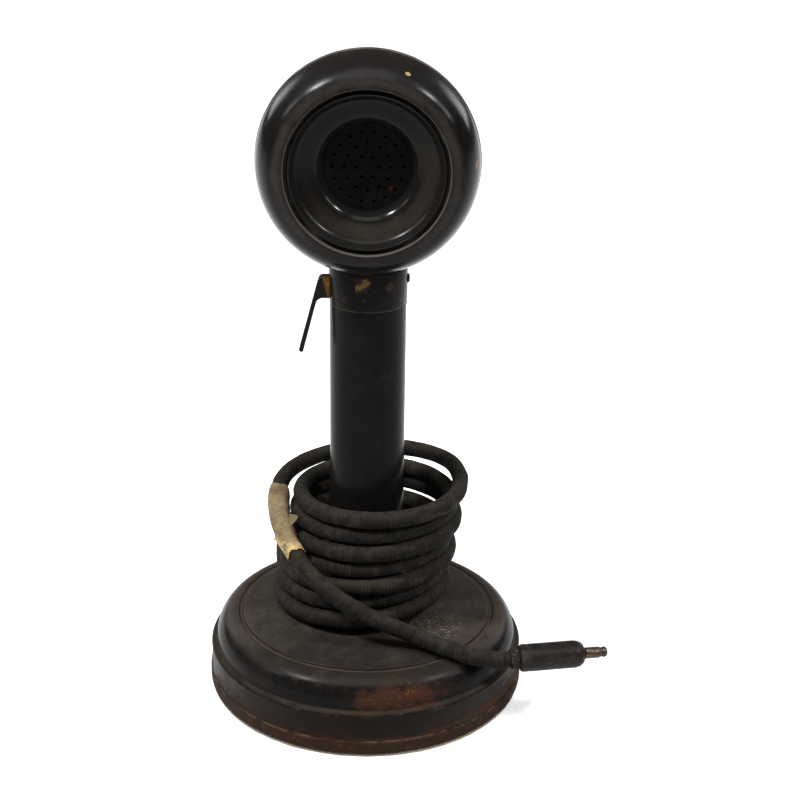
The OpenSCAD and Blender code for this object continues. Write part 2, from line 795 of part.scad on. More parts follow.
module pile_holes(r) {
  for (z = [pile_h * 0.22, pile_h * 0.78])
    translate([-stem_r, 0, pile_top_z - z]) rotate([0, 90, 0]) cylinder(r = r, h = stem_d);
}

module pile_block(x0, x1) {
  translate([x0, -pile_half_w, pile_top_z - pile_h]) cube([x1 - x0, pile_half_w * 2, pile_h]);
}

module pile_insulators() {
  color("#7a3b22") difference() {
    union() {
      pile_block(blade_x - 2.4, blade_x);
      pile_block(blade_x + blade_t, fixed_x);
      pile_block(fixed_x + blade_t, web_x);
    }
    pile_holes(pile_screw_r + run_fit);
  }
}

module pile_plate() {
  color("#8d8168") difference() {
    pile_block(blade_x - 2.4 - pile_plate_t, blade_x - 2.4);
    pile_holes(pile_screw_r + run_fit);
  }
}

module pile_screws() {
  head_x = blade_x - 2.4 - pile_plate_t;
  color("#9a9c9e") for (z = [pile_h * 0.22, pile_h * 0.78])
    translate([head_x, 0, pile_top_z - z]) rotate([0, -90, 0])
      screw(2.3, 1.5, pile_screw_r, web_x + web_t - head_x);
}

module blade(x, z0, z1) {
  translate([x, -blade_w / 2, z0]) cube([blade_t, blade_w, z1 - z0]);
}

module fixed_blade() {
  color("#b9b7a6") difference() {
    union() {
      blade(fixed_x, pile_top_z - pile_h - 5, contact_z + 3);
      translate([fixed_x - contact_h, 0, contact_z]) rotate([0, 90, 0])
        cylinder(r = 1.2, h = contact_h);
    }
    pile_holes(pile_sleeve_r);
  }
}

module blade_root() {
  color("#b9b7a6") difference() {
    blade(blade_x, pile_top_z - pile_h - 5, pile_top_z);
    pile_holes(pile_sleeve_r);
  }
}

module moving_blade() {
  color("#b9b7a6") {
    blade(blade_x, pile_top_z + free_gap, contact_z + 2);
    translate([blade_x + blade_t, 0, contact_z]) rotate([0, 90, 0])
      cylinder(r = 1.2, h = contact_h);
  }
}

// ---------- head ----------

module head_lug() {
  color("#1c1a19") difference() {
    union() {
      translate([-lug_half, pivot_y, pivot_z]) rotate([0, 90, 0])
        cylinder(r = ear_r - 0.2, h = lug_half * 2);
      translate([-lug_half, 0, 0]) rotate([90, 0, 90]) linear_extrude(lug_half * 2)
        polygon([
          [pivot_y - ear_r + 0.4, pivot_z], [-9, head_z - cup_r - saddle_t + 0.4],
          [-9, head_z - cup_r + 0.6], [pivot_y - 4, head_z - cup_r + 0.6],
          [pivot_y + ear_r - 2.2, pivot_z + 3.6]
        ]);
      intersection() {
        at_head(cup_corner - cup_back) ring(cup_r - 0.5, cup_r + saddle_t, 0, 17);
        translate([-saddle_half, -30, head_z - cup_r - 10]) cube([saddle_half * 2, 60, 20]);
      }
    }
    at_head(-cup_back) cylinder(r = cup_r + slip_fit / 2, h = 30, $fn = 96);
    translate([-lug_half - 1, pivot_y, pivot_z]) rotate([0, 90, 0])
      cylinder(r = tilt_r + run_fit, h = lug_half * 2 + 2);
    lug_screw_places() translate([0, 0, -6]) cylinder(r = 1.2, h = 12);
  }
}

// Four screws, two each side of the web, driven radially into the cup
module lug_screw_places() {
  for (a = [-10.5, 10.5], y = [-11, -0.5])
    translate([0, y, head_z]) rotate([0, a, 0]) translate([0, 0, -cup_r - saddle_t])
      rotate([180, 0, 0]) children();
}

module lug_screws() {
  color("#8f8f8c") lug_screw_places() screw(1.8, 1, 1.15, saddle_t + cup_wall);
}

module back_cup() {
  outer = concat(
    [[0, -cup_back], [cup_r - cup_corner, -cup_back]],
    arc(cup_r - cup_corner, cup_corner - cup_back, cup_corner, cup_corner, 270, 360, 6),
    [[cup_r, rim_back - 3.2]],
    arc(cup_r + 3, rim_back - 3 + ledge - flange_t, 3, 3, 180, 90, 4),
    [[flange_r, rim_back + ledge - flange_t], [flange_r, rim_back + ledge]]
  );
  inner = concat(
    [[cup_r - cup_wall, rim_back + ledge], [cup_r - cup_wall, cup_corner - cup_back]],
    arc(cup_r - cup_corner, cup_corner - cup_back, cup_corner - cup_wall,
        cup_corner - cup_wall, 0, -90, 6),
    [[0, cup_wall - cup_back]]
  );
  color("#1e1c1b") difference() {
    at_head() rotate_extrude($fn = 96) polygon(concat(outer, inner));
    cup_screw_places() translate([0, 0, -8]) cylinder(r = boss_screw_r + slip_fit, h = 12);
    lug_screw_places() translate([0, 0, -6]) cylinder(r = 1.2, h = 12);
  }
}

// Three screws from behind through the cup's flange into the dome's bosses
module cup_screw_places() {
  for (a = [90, 210, 330])
    at_head(rim_back + ledge - flange_t) rotate([0, 0, a]) translate([boss_ring, 0, 0])
      rotate([180, 0, 0]) children();
}

module cup_screws() {
  color("#8f8f8c") cup_screw_places() screw(2, 1.1, boss_screw_r, cup_screw_l);
}

module bridge_screw_places() {
  for (s = [-1, 1])
    at_head(bridge_back) translate([s * boss_ring, 0, 0]) children();
}

module face_dome() {
  front = arc(lip_r, rim_front, dome_front_r - lip_r, lip_front - rim_front - 0.1, 84, 0, 12);
  outer = concat(
    [[neck_r, mouth_top - 1.9], [lip_r - 1.3, mouth_top - 1.6], [lip_r - 0.8, lip_front - 0.5],
     [lip_r - 0.3, lip_front]],
    front,
    [[dome_r, rim_front - 0.3], [dome_r, rim_back + 0.3], [dome_r - 0.3, rim_back]]
  );
  inner_r = dome_r - dome_wall;
  inner = concat(
    [[inner_r, rim_back], [inner_r, rim_back + ledge], [inner_r - 1, rim_back + ledge]],
    arc(neck_r + neck_wall, rim_front, inner_r - 1 - neck_r - neck_wall,
        lip_front - rim_front - dome_wall - 0.6, 0, 84, 10),
    [[neck_r + neck_wall, neck_back], [neck_r, neck_back]]
  );
  color("#18181a") difference() {
    union() {
      at_head() rotate_extrude($fn = 96) polygon(concat(outer, inner));
      intersection() {
        at_head() rotate_extrude($fn = 96)
          polygon(concat([[neck_r, neck_back], [neck_r, mouth_top - 2]], front, [[dome_r - 1, rim_back]]));
        union() {
          for (a = [90, 210, 330])
            at_head(rim_back + ledge) rotate([0, 0, a]) translate([boss_ring, 0, 0])
              cylinder(r = boss_r, h = dome_depth);
          for (s = [-1, 1])
            at_head(bridge_back + bridge_t) translate([s * boss_ring, 0, 0])
              cylinder(r = boss_r, h = dome_depth);
        }
      }
    }
    cup_screw_places() translate([0, 0, -cup_screw_l - free_gap])
      cylinder(r = boss_screw_r + run_fit, h = cup_screw_l + 2);
    bridge_screw_places() cylinder(r = boss_screw_r + run_fit, h = bridge_screw_l + free_gap);
  }
}

module mouthpiece() {
  t = throat_r;
  color("#151414") at_head() rotate_extrude($fn = 96)
    polygon([
      [mouth_r, neck_back], [mouth_r, mouth_top - 1.9], [mouth_r - 0.6, mouth_top - 1.6],
      [mouth_r - 0.7, mouth_rim - 0.5], [mouth_r - 1, mouth_rim], [mouth_r - 1.5, mouth_rim],
      [mouth_r - 1.9, mouth_rim - 0.5], [mouth_r - 2, mouth_top - 0.4],
      [mouth_r - 2.4, mouth_top - 2.4], [mouth_r - 3.4, mouth_top - 3.8],
      [mouth_r - 5.5, mouth_top - 4.4], [t + 3, mouth_top - 5], [t + 1.4, mouth_top - 5.3],
      [t + 0.4, mouth_top - 6], [t, mouth_top - 7], [t - 0.6, plate_front + 1.4],
      [plate_r, plate_front], [plate_r, plate_front - plate_t],
      [plate_r - 1.4, plate_front - plate_t], [plate_r - 1.4, plate_front - plate_t - 0.8],
      [t + 1, plate_front - plate_t - 0.8], [t + 2.4, mouth_top - 7.2],
      [mouth_r - 4, mouth_top - 6.6], [mouth_r - 3, neck_back]
    ]);
}

module speech_plate() {
  color("#131212") at_head(plate_front - plate_t) difference() {
    cylinder(r = plate_r - run_fit, h = plate_t);
    for (ring_no = [1:3], i = [0:speech_holes * ring_no - 1])
      rotate([0, 0, i * 360 / (speech_holes * ring_no)])
        translate([speech_ring_step * ring_no - 0.3, 0, -1])
          cylinder(r = speech_hole_d / 2, h = plate_t + 2, $fn = 24);
  }
}

module diaphragm_gasket() {
  color("#4a1f18") at_head(diaphragm_front)
    ring(neck_r - 1.5, gasket_r, 0, gasket_t);
}

module diaphragm() {
  color("#a9abad") at_head(diaphragm_front - diaphragm_t)
    cylinder(r = diaphragm_r, h = diaphragm_t);
}

module bridge() {
  color("#a07b3c") at_head(bridge_back) difference() {
    translate([-bridge_half_l, -bridge_w / 2, 0]) cube([2 * bridge_half_l, bridge_w, bridge_t]);
    translate([0, 0, -1]) cylinder(r = button_neck_r + slip_fit, h = bridge_t + 2);
    for (s = [-1, 1]) translate([s * boss_ring, 0, -1]) {
      cylinder(r = boss_screw_r + slip_fit, h = bridge_t + 2);
      cylinder(r = 2.1, h = 2.3);
    }
  }
}

module bridge_screws() {
  color("#8f8f8c") bridge_screw_places() {
    cylinder(r = 2, h = 1.25);
    cylinder(r = boss_screw_r, h = bridge_screw_l);
  }
}

module carbon_button() {
  color("#8c6a33") at_head() rotate_extrude()
    polygon([
      [0, bridge_back - button_l], [button_r - 1, bridge_back - button_l],
      [button_r, bridge_back - button_l + 1], [button_r, bridge_back], [button_neck_r, bridge_back],
      [button_neck_r, bridge_back + bridge_t], [1.5, bridge_back + bridge_t],
      [1.5, diaphragm_front - diaphragm_t], [0, diaphragm_front - diaphragm_t]
    ]);
}

module button_lead() {
  color("#4c6a3c") tube([
    [0, -bridge_back + button_l, head_z], [0, -bridge_back + button_l + 4, head_z],
    [0, -bridge_back + button_l + 9, head_z - 4], [0, -bridge_back + button_l + 10, head_z - 12],
    [0, -bridge_back + button_l + 8, head_z - 20], [0, -bridge_back + button_l + 3, head_z - cup_r + 3.5],
    [0, -bridge_back + button_l - 3, head_z - cup_r + 2.4]
  ], lead_r, 6);
}

// ---------- cord and plug ----------

module cord_lead() {
  color("#1f1b18") tube(lead_route, cord_d / 2, cord_sides);
}

module cord_coil() {
  color("#1f1b18") tube(coil_route, cord_d / 2, coil_sides);
}

module cord_tail() {
  color("#1f1b18") tube(tail_route, cord_d / 2, cord_sides);
}

module tape_label() {
  color("#b7a47e") tube(tape_route, cord_d / 2 + tape_t, cord_sides);
}

module cord_whipping() {
  color("#14110f") at_plug(-whip_l) difference() {
    rotate_extrude()
      polygon([
        [0, 0], [cord_d / 2 + 0.3, 0], [cord_d / 2 + 0.9, 0.8], [cord_d / 2 + 0.9, whip_l - 0.6],
        [cord_d / 2 + 0.5, whip_l], [0, whip_l]
      ]);
    translate([0, 0, -1]) cylinder(r = cord_d / 2, h = whip_l + 2);
  }
}

module plug_shell() {
  r = plug_d / 2;
  l = plug_l;
  color("#161618") at_plug() difference() {
    rotate_extrude()
      polygon([
        [0, 0], [r - 1.1, 0], [r - 0.4, 0.6], [r, 1.8], [r, l - 5], [r - 0.3, l - 3],
        [r - 1.1, l - 1.3], [r - 2.3, l - 0.3], [r - 3.2, l], [0, l]
      ]);
    translate([0, 0, l - plug_root]) cylinder(r = sleeve_neck_r + run_fit, h = plug_root + 1);
  }
}

module plug_sleeve() {
  color("#8a6a3e") at_plug(plug_l) difference() {
    union() {
      translate([0, 0, -plug_root]) cylinder(r = sleeve_neck_r, h = plug_root + sleeve_l);
      translate([0, 0, sleeve_step]) cylinder(r = sleeve_r, h = sleeve_l - sleeve_step);
    }
    translate([0, 0, -plug_root - 1]) cylinder(r = core_r, h = plug_root + sleeve_l + 2);
  }
}

module plug_insulator() {
  z = plug_l + sleeve_l;
  color("#1a1512") at_plug() difference() {
    rotate_extrude()
      polygon([
        [0, plug_l - plug_root], [core_r - run_fit, plug_l - plug_root], [core_r - run_fit, z],
        [sleeve_r - 0.3, z], [sleeve_r - 0.3, z + ring_l], [0, z + ring_l]
      ]);
    translate([0, 0, plug_l - plug_root - 1])
      cylinder(r = tip_rod_r + run_fit, h = plug_root + sleeve_l + ring_l + 2);
  }
}

module plug_tip() {
  z = plug_l + sleeve_l + ring_l;
  color("#6e5232") at_plug() rotate_extrude()
    polygon([
      [0, plug_l - plug_root + 1], [tip_rod_r, plug_l - plug_root + 1], [tip_rod_r, z],
      [sleeve_r - 0.2, z],
      [sleeve_r - 0.2, z + 0.5], [1.7, z + 0.8], [1.7, z + 1.1], [sleeve_r - 0.5, z + 1.4],
      [sleeve_r - 0.6, z + 1.9], [1.2, z + tip_l - 0.2], [0, z + tip_l]
    ]);
}

felt_pad();
base_pan();
pan_screws();
ballast_ring();
base_shell();
cord_bushing();
bushing_nut();
cord_clamp();
clamp_screws();
terminal_block();
terminal_screws();
base_leads();
stem_leads();
stem_tube();
stem_foot();
stem_washer();
stem_nut();
stem_cap();
cap_screws();
contact_frame();
lever_pin();
talk_lever();
lever_stud();
pile_insulators();
pile_plate();
pile_screws();
fixed_blade();
blade_root();
moving_blade();
tilt_screw();
tilt_nut();
head_lug();
lug_screws();
back_cup();
cup_screws();
face_dome();
mouthpiece();
speech_plate();
diaphragm_gasket();
diaphragm();
bridge();
bridge_screws();
carbon_button();
button_lead();
cord_lead();
cord_coil();
cord_tail();
tape_label();
cord_whipping();
plug_shell();
plug_sleeve();
plug_insulator();
plug_tip();
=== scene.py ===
import math
import bmesh
import bpy
from mathutils import Matrix, Vector, noise


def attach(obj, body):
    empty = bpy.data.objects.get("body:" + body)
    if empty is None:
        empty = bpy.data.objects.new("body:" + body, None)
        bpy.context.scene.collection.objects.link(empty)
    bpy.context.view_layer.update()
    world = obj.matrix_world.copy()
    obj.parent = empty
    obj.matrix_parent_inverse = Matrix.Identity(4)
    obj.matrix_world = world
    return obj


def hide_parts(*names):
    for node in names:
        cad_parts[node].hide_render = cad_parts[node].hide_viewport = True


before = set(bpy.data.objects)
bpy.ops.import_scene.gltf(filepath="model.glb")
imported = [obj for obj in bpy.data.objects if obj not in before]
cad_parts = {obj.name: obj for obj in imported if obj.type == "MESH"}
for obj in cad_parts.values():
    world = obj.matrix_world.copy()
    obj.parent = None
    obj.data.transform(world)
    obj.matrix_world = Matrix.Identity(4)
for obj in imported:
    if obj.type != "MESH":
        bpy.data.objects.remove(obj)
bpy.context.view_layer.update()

# ---- Camera, table and lamps ----
# The stand is seen from the front and a little above, on a wide white table,
# under one large soft lamp, four small ones and two low panels behind it.
mm = 0.001
camera_place = (0.0148, -0.680, 0.4144)
camera_pitch, camera_roll = 68.165, 0.8374

camera = bpy.data.objects.new("camera", bpy.data.cameras.new("camera"))
bpy.context.scene.collection.objects.link(camera)
camera.data.lens = 72.36
camera.data.sensor_width = 36
camera.data.clip_start = 0.02
camera.data.clip_end = 60
camera.matrix_world = (Matrix.Translation(camera_place)
                       @ Matrix.Rotation(math.radians(camera_pitch), 4, "X")
                       @ Matrix.Rotation(math.radians(camera_roll), 4, "Z"))
bpy.context.scene.camera = camera
bpy.context.scene.view_settings.view_transform = "Standard"


def piece(name, bm):
    """Hands over a finished bmesh as a named piece with its faces shaded smooth."""
    mesh = bpy.data.meshes.new(name)
    bm.to_mesh(mesh)
    bm.free()
    mesh.polygons.foreach_set("use_smooth", [True] * len(mesh.polygons))
    made = bpy.data.objects.new(name, mesh)
    bpy.context.scene.collection.objects.link(made)
    return made


def turned(outline, steps):
    """Turns a closed outline of (radius, height) pairs in millimetres on the Z axis, as on a lathe."""
    bm = bmesh.new()
    points = [bm.verts.new((r * mm, 0, z * mm)) for r, z in outline]
    edges = [bm.edges.new(pair) for pair in zip(points, points[1:] + points[:1])]
    bmesh.ops.spin(bm, geom=points + edges, cent=(0, 0, 0), axis=(0, 0, 1), dvec=(0, 0, 0),
                   angle=2 * math.pi, steps=steps, use_merge=True, use_duplicate=False)
    bmesh.ops.remove_doubles(bm, verts=bm.verts, dist=1e-6)
    bmesh.ops.dissolve_degenerate(bm, edges=bm.edges, dist=1e-7)
    bmesh.ops.recalc_face_normals(bm, faces=bm.faces)
    return bm


class Finish:
    """The recipe of one finish, laid on coat by coat; sizes are in millimetres."""

    def __init__(self, name, colour, rough, **sockets):
        self.material = bpy.data.materials.new(name)
        self.material.use_nodes = True
        self.tree = self.material.node_tree
        self.shader = self.tree.nodes["Principled BSDF"]
        self.colour, self.rough, self.relief = (*colour, 1), rough, None
        for socket, value in sockets.items():
            self.shader.inputs[socket.replace("_", " ")].default_value = value
        self.place = self.node("TexCoord").outputs["Object"]

    def node(self, kind, inputs=None, **settings):
        made = self.tree.nodes.new("ShaderNode" + kind)
        for key, value in settings.items():
            setattr(made, key, value)
        for key, value in (inputs or {}).items():
            if isinstance(value, bpy.types.NodeSocket):
                self.tree.links.new(value, made.inputs[key])
            else:
                made.inputs[key].default_value = value
        return made

    def sum(self, operation, a, b=0.0, c=0.0):
        return self.node("Math", {0: a, 1: b, 2: c}, operation=operation).outputs[0]

    def step(self, value, low, high, bottom=0.0, top=1.0):
        """Goes softly from bottom to top as value goes from low to high."""
        return self.node("MapRange", {0: value, 1: low, 2: high, 3: bottom, 4: top},
                         interpolation_type="SMOOTHSTEP").outputs[0]

    def grain(self, size, detail=4.0, rough=0.55, stretch=(1, 1, 1), shift=0.0):
        """Cloudy noise whose clouds are about size across, from 0 to 1."""
        moved = self.node("Mapping", {"Vector": self.place, "Scale": stretch,
                                      "Location": (shift, shift * 0.7, shift * 1.3)})
        return self.node("TexNoise", {"Vector": moved.outputs[0], "Scale": 1 / (size * mm),
                                      "Detail": detail, "Roughness": rough}).outputs[0]

    def clouds(self, texture, low, high, bottom=0.0, top=1.0, shift=0.0):
        """Uneven patches: texture is the size, detail and roughness of their grain."""
        return self.step(self.grain(*texture, shift=shift), low, high, bottom, top)

    def specks(self, size, share, shift=0.0):
        """Small scattered grains: share is the noise level above which one shows."""
        return self.clouds((size, 2.0, 0.5), share, share + 0.05, shift=shift)

    def off_axis(self, centre, axis):
        """Distance from an axis, in metres."""
        keep = tuple(0.0 if a else 1.0 for a in axis)
        offset = self.node("VectorMath", {0: self.place, 1: centre}, operation="SUBTRACT")
        flat = self.node("VectorMath", {0: offset.outputs[0], 1: keep}, operation="MULTIPLY")
        return self.node("VectorMath", {0: flat.outputs[0]}, operation="LENGTH").outputs["Value"]

    def along(self, axis):
        return self.node("SeparateXYZ", {0: self.place}).outputs[axis]

    def stray(self, reach, size, rough, shift):
        """Wanders up to reach either way, to make an edge ragged."""
        return self.sum("MULTIPLY_ADD", self.grain(size, 5.0, rough, shift=shift),
                        2 * reach * mm, -reach * mm)

    def band(self, value, low, high, soft, ragged=0.0, size=6.0, shift=0.0):
        """Shows between low and high, in millimetres, with soft and ragged edges."""
        if ragged:
            value = self.sum("ADD", value, self.stray(ragged, size, 0.65, shift))
        rise = self.step(value, (low - soft) * mm, (low + soft) * mm)
        fall = self.step(value, (high - soft) * mm, (high + soft) * mm, 1.0, 0.0)
        return self.sum("MULTIPLY", rise, fall)

    def patch(self, point, reach, ragged, size, shift=0.0):
        """A ragged patch round a point, both in millimetres."""
        gap = self.node("VectorMath", {0: self.place, 1: tuple(c * mm for c in point)},
                        operation="DISTANCE").outputs["Value"]
        frayed_gap = self.sum("ADD", gap, self.stray(ragged * reach, size, 0.7, shift))
        return self.step(frayed_gap, 0.75 * reach * mm, 1.1 * reach * mm, 1.0, 0.0)

    def both(self, *masks):
        total = masks[0]
        for mask in masks[1:]:
            total = self.sum("MULTIPLY", total, mask)
        return total

    def either(self, *masks):
        total = masks[0]
        for mask in masks[1:]:
            total = self.sum("MAXIMUM", total, mask)
        return total

    def facing_up(self, low, high):
        normal = self.node("TexCoord").outputs["Normal"]
        return self.step(self.node("SeparateXYZ", {0: normal}).outputs[2], low, high)

    def coat(self, mask, colour=None, rough=None, relief=0.0):
        """Lays another colour, gloss or thickness over what is there, where the mask is 1."""
        if colour is not None:
            mixed = self.node("Mix", {0: mask, 6: self.colour, 7: (*colour, 1)}, data_type="RGBA")
            self.colour = mixed.outputs[2]
        if rough is not None:
            self.rough = self.node("Mix", {0: mask, 2: self.rough, 3: rough}).outputs[0]
        if relief:
            self.raise_by(mask, relief)

    def raise_by(self, value, amount):
        """Adds height, in millimetres, to the surface's relief."""
        lift = self.sum("MULTIPLY", value, amount * mm)
        self.relief = lift if self.relief is None else self.sum("ADD", self.relief, lift)

    def done(self):
        """Joins the coats to the shader and hands over the material."""
        for key, value in (("Base Color", self.colour), ("Roughness", self.rough)):
            if isinstance(value, bpy.types.NodeSocket):
                self.tree.links.new(value, self.shader.inputs[key])
            else:
                self.shader.inputs[key].default_value = value
        if self.relief is not None:
            bumped = self.node("Bump", {"Height": self.relief, "Distance": 1.0, "Strength": 1.0})
            self.tree.links.new(bumped.outputs[0], self.shader.inputs["Normal"])
        return self.material


# The table's own glow grows from front to back, so that it fades to white behind the stand.
paper = Finish("white_table", (0.56, 0.56, 0.555), 0.85,
               Specular_IOR_Level=0.1, Emission_Color=(1, 1, 1, 1))
glow = paper.step(paper.along(1), -0.38, 0.3, 0.15, 0.92)
paper.tree.links.new(glow, paper.shader.inputs["Emission Strength"])
paper.raise_by(paper.grain(3.0), 0.05)

table_r, table_top, table_foot = 6500, -0.05, -4
table = piece("table", turned(
    [(0, table_top), (table_r, table_top), (table_r, table_foot), (0, table_foot)], 96))
table.data.materials.append(paper.done())

room = bpy.data.worlds.new("room")
bpy.context.scene.world = room
room.use_nodes = True
room.node_tree.nodes["Background"].inputs["Color"].default_value = (0.96, 0.98, 1, 1)
room.node_tree.nodes["Background"].inputs["Strength"].default_value = 0.08


def soft_lamp(name, place, aim, size, power):
    """A square soft box that shines from place towards aim."""
    lamp = bpy.data.lights.new(name, "AREA")
    lamp.shape = "SQUARE"
    lamp.size = size
    lamp.energy = power
    lamp_object = bpy.data.objects.new(name, lamp)
    lamp_object.location = place
    lamp_object.rotation_mode = "QUATERNION"
    lamp_object.rotation_quaternion = (Vector(aim) - Vector(place)).to_track_quat("-Z", "Y")
    bpy.context.scene.collection.objects.link(lamp_object)


foot_middle, stem_middle = (0, 0, 0.1), (0, 0, 0.2)
soft_lamp("lamp_top", (0, -0.65, 2.1), foot_middle, 1.3, 21)
soft_lamp("lamp_left", (-1.04, -0.52, 1.63), stem_middle, 0.21, 45)
soft_lamp("lamp_right", (1.2, -0.52, 1.46), stem_middle, 0.2, 22)
soft_lamp("window_left", (-1.65, -0.4, 1.2), stem_middle, 0.4, 6.5)
soft_lamp("window_right", (1.68, -0.45, 1.2), stem_middle, 0.4, 6.5)
soft_lamp("panel_left", (-1.3, 1.5, 0.8), stem_middle, 0.6, 6)
soft_lamp("panel_right", (1.4, 1.4, 0.85), stem_middle, 0.7, 9)

# ---- Cord ----
# A limp cloth-braided cord runs from the bushing round to the left, winds six
# and a half turns up the stem, and comes down across the front to its plug.
cord_d = 7.8
lead_points = [
    (0, 55.9, 16), (0, 65.9, 16), (0, 76, 16), (0, 84, 15.6), (-1, 94, 13.5), (-6, 104, 9.5),
    (-15, 111, 6), (-26, 112.5, 4.4), (-36, 107, 6.2), (-41.8, 97, 12), (-43.8, 87, 19.8),
    (-44.4, 77, 27.8), (-44.2, 67, 34.2), (-43.6, 57, 38.2), (-42.8, 46, 40), (-41.8, 35, 40.7)]
tail_points = [
    (40, 32, 96.9), (31, 41.8, 97.3), (18.5, 47.8, 97.4), (4, 50, 97.1), (-10, 48, 96.6),
    (-23, 42, 95.9), (-33.2, 32.2, 95.2), (-39.6, 20.2, 94.2), (-42, 8, 91.5), (-41.2, -4.2, 86.5),
    (-37.6, -15.3, 81), (-32, -24.8, 75), (-24, -33, 68.5), (-14, -38.6, 62), (-3, -41.5, 55.8),
    (8.5, -42, 50), (20, -41.8, 44.9), (31, -44.5, 41.2), (41, -48, 39.5), (50, -49.6, 37.5),
    (58, -48.6, 35.6)]
coil_turns, coil_rings, coil_pitch = 6.5, 24, 8.35
coil_r, coil_draw_in, coil_weave = 37.6, 1.5, 1.4
coil_foot_x, coil_back, coil_foot_z = -3.2, 6.6, 43.6
coil_lean, coil_tilt = 9.2, 2
plug_root = Vector((70.6, -46, 35))
plug_turn = math.radians(10)
plug_heading = Vector((math.cos(plug_turn), math.sin(plug_turn), 0))


def coil_point(turn):
    """The cord's middle after so many turns: the coil leans, draws in and weaves a little."""
    share = turn / coil_turns
    a = math.radians(180 + 360 * turn)
    r = coil_r - coil_draw_in * share + coil_weave * math.sin(math.pi * turn)
    return Vector((coil_foot_x + coil_lean * share + r * math.cos(a), coil_back + r * math.sin(a),
                   coil_foot_z + coil_pitch * turn + coil_tilt * (1 - share) * math.cos(a)))


def coil_heading(turn):
    return (coil_point(turn + 0.001) - coil_point(turn - 0.001)).normalized()


coil_points = [coil_point(i / coil_rings) for i in range(int(coil_turns * coil_rings) + 1)]
route = ([Vector(p) for p in lead_points] + [coil_points[0] - coil_heading(0) * cord_d]
         + coil_points + [coil_points[-1] + coil_heading(coil_turns) * cord_d]
         + [Vector(p) for p in tail_points] + [plug_root - plug_heading * cord_d, plug_root])


def evenly(points, spacing):
    """A smooth line through the points, cut into equal steps, and its length."""
    ends = [2 * points[0] - points[1]] + list(points) + [2 * points[-1] - points[-2]]
    fine = []
    for a, b, c, d in zip(ends, ends[1:], ends[2:], ends[3:]):
        for i in range(12):
            t = i / 12
            fine.append(0.5 * (2 * b + (c - a) * t + (2 * a - 5 * b + 4 * c - d) * t ** 2
                               + (3 * b - a - 3 * c + d) * t ** 3))
    fine.append(points[-1])
    gone = [0.0]
    for a, b in zip(fine, fine[1:]):
        gone.append(gone[-1] + (b - a).length)
    count = round(gone[-1] / spacing)
    out, k = [], 0
    for i in range(count + 1):
        target = gone[-1] * i / count
        while k < len(gone) - 2 and gone[k + 1] < target:
            k += 1
        share = (target - gone[k]) / max(gone[k + 1] - gone[k], 1e-9)
        out.append(fine[k].lerp(fine[k + 1], share))
    return out, gone[-1]


def swept(name, points, radius, sides, ends=True):
    """A round bar along the points, whose UV map runs along it and round it."""
    line = bpy.data.curves.new(name, "CURVE")
    line.dimensions = "3D"
    line.bevel_depth = radius * mm
    line.bevel_resolution = sides
    line.use_fill_caps = ends
    spline = line.splines.new("POLY")
    spline.points.add(len(points) - 1)
    for knot, point in zip(spline.points, points):
        knot.co = (*(point * mm), 1)
    made = bpy.data.objects.new(name, line)
    bpy.context.scene.collection.objects.link(made)
    return made


cord_line, cord_length = evenly(route, 1.5)
cord = swept("braided_cord", cord_line, cord_d / 2 - 0.05, 7)
for knot in cord.data.splines[0].points:
    knot.radius = 1 + 0.05 * noise.noise(knot.co.xyz * 160) + 0.03 * noise.noise(knot.co.xyz * 420)

# The plait: strands laid left-handed and right-handed go over and under each other.
braid = Finish("cotton_braid", (0.0095, 0.0084, 0.0073), 0.8, Specular_IOR_Level=0.07)
cord_map = braid.node("SeparateXYZ", {0: braid.node("TexCoord").outputs["UV"]})
along_cord, round_cord = cord_map.outputs[0], cord_map.outputs[1]
strands = 16
cells_along = strands * cord_length / (math.pi * cord_d)
left_hand = braid.sum("MULTIPLY_ADD", along_cord, cells_along,
                      braid.sum("MULTIPLY", round_cord, strands))
right_hand = braid.sum("MULTIPLY_ADD", along_cord, cells_along,
                       braid.sum("MULTIPLY", round_cord, -strands))


def strand_height(lay):
    """Round across each strand: 0 at its edges and 1 along its middle."""
    return braid.sum("SINE", braid.sum("MULTIPLY", braid.sum("FRACT", lay), math.pi))


keeps_positive = 4000  # even, so that over and under stay as they are
crossing = braid.sum("ADD", braid.sum("FLOOR", left_hand),
                     braid.sum("ADD", braid.sum("FLOOR", right_hand), keeps_positive))
plait = braid.node("Mix", {0: braid.sum("MODULO", crossing, 2), 2: strand_height(left_hand),
                           3: strand_height(right_hand)}).outputs[0]
braid.raise_by(plait, 0.2)
# Painted shade: the braid is darker in the hollows between its strands.
braid.coat(braid.step(plait, 0.5, 0.05), (0.0065, 0.0056, 0.005), 0.9)


def cloth_folds(spacing, turns, shift):
    """Noise drawn out round the cord, for the folds and rubs that cross it."""
    laid = braid.node("CombineXYZ", {0: braid.sum("MULTIPLY", along_cord, cord_length / spacing),
                                     1: braid.sum("MULTIPLY", round_cord, turns), 2: shift})
    return braid.node("TexNoise", {"Vector": laid.outputs[0], "Scale": 1.0, "Detail": 4.0,
                                   "Roughness": 0.6, "Distortion": 0.4}).outputs[0]


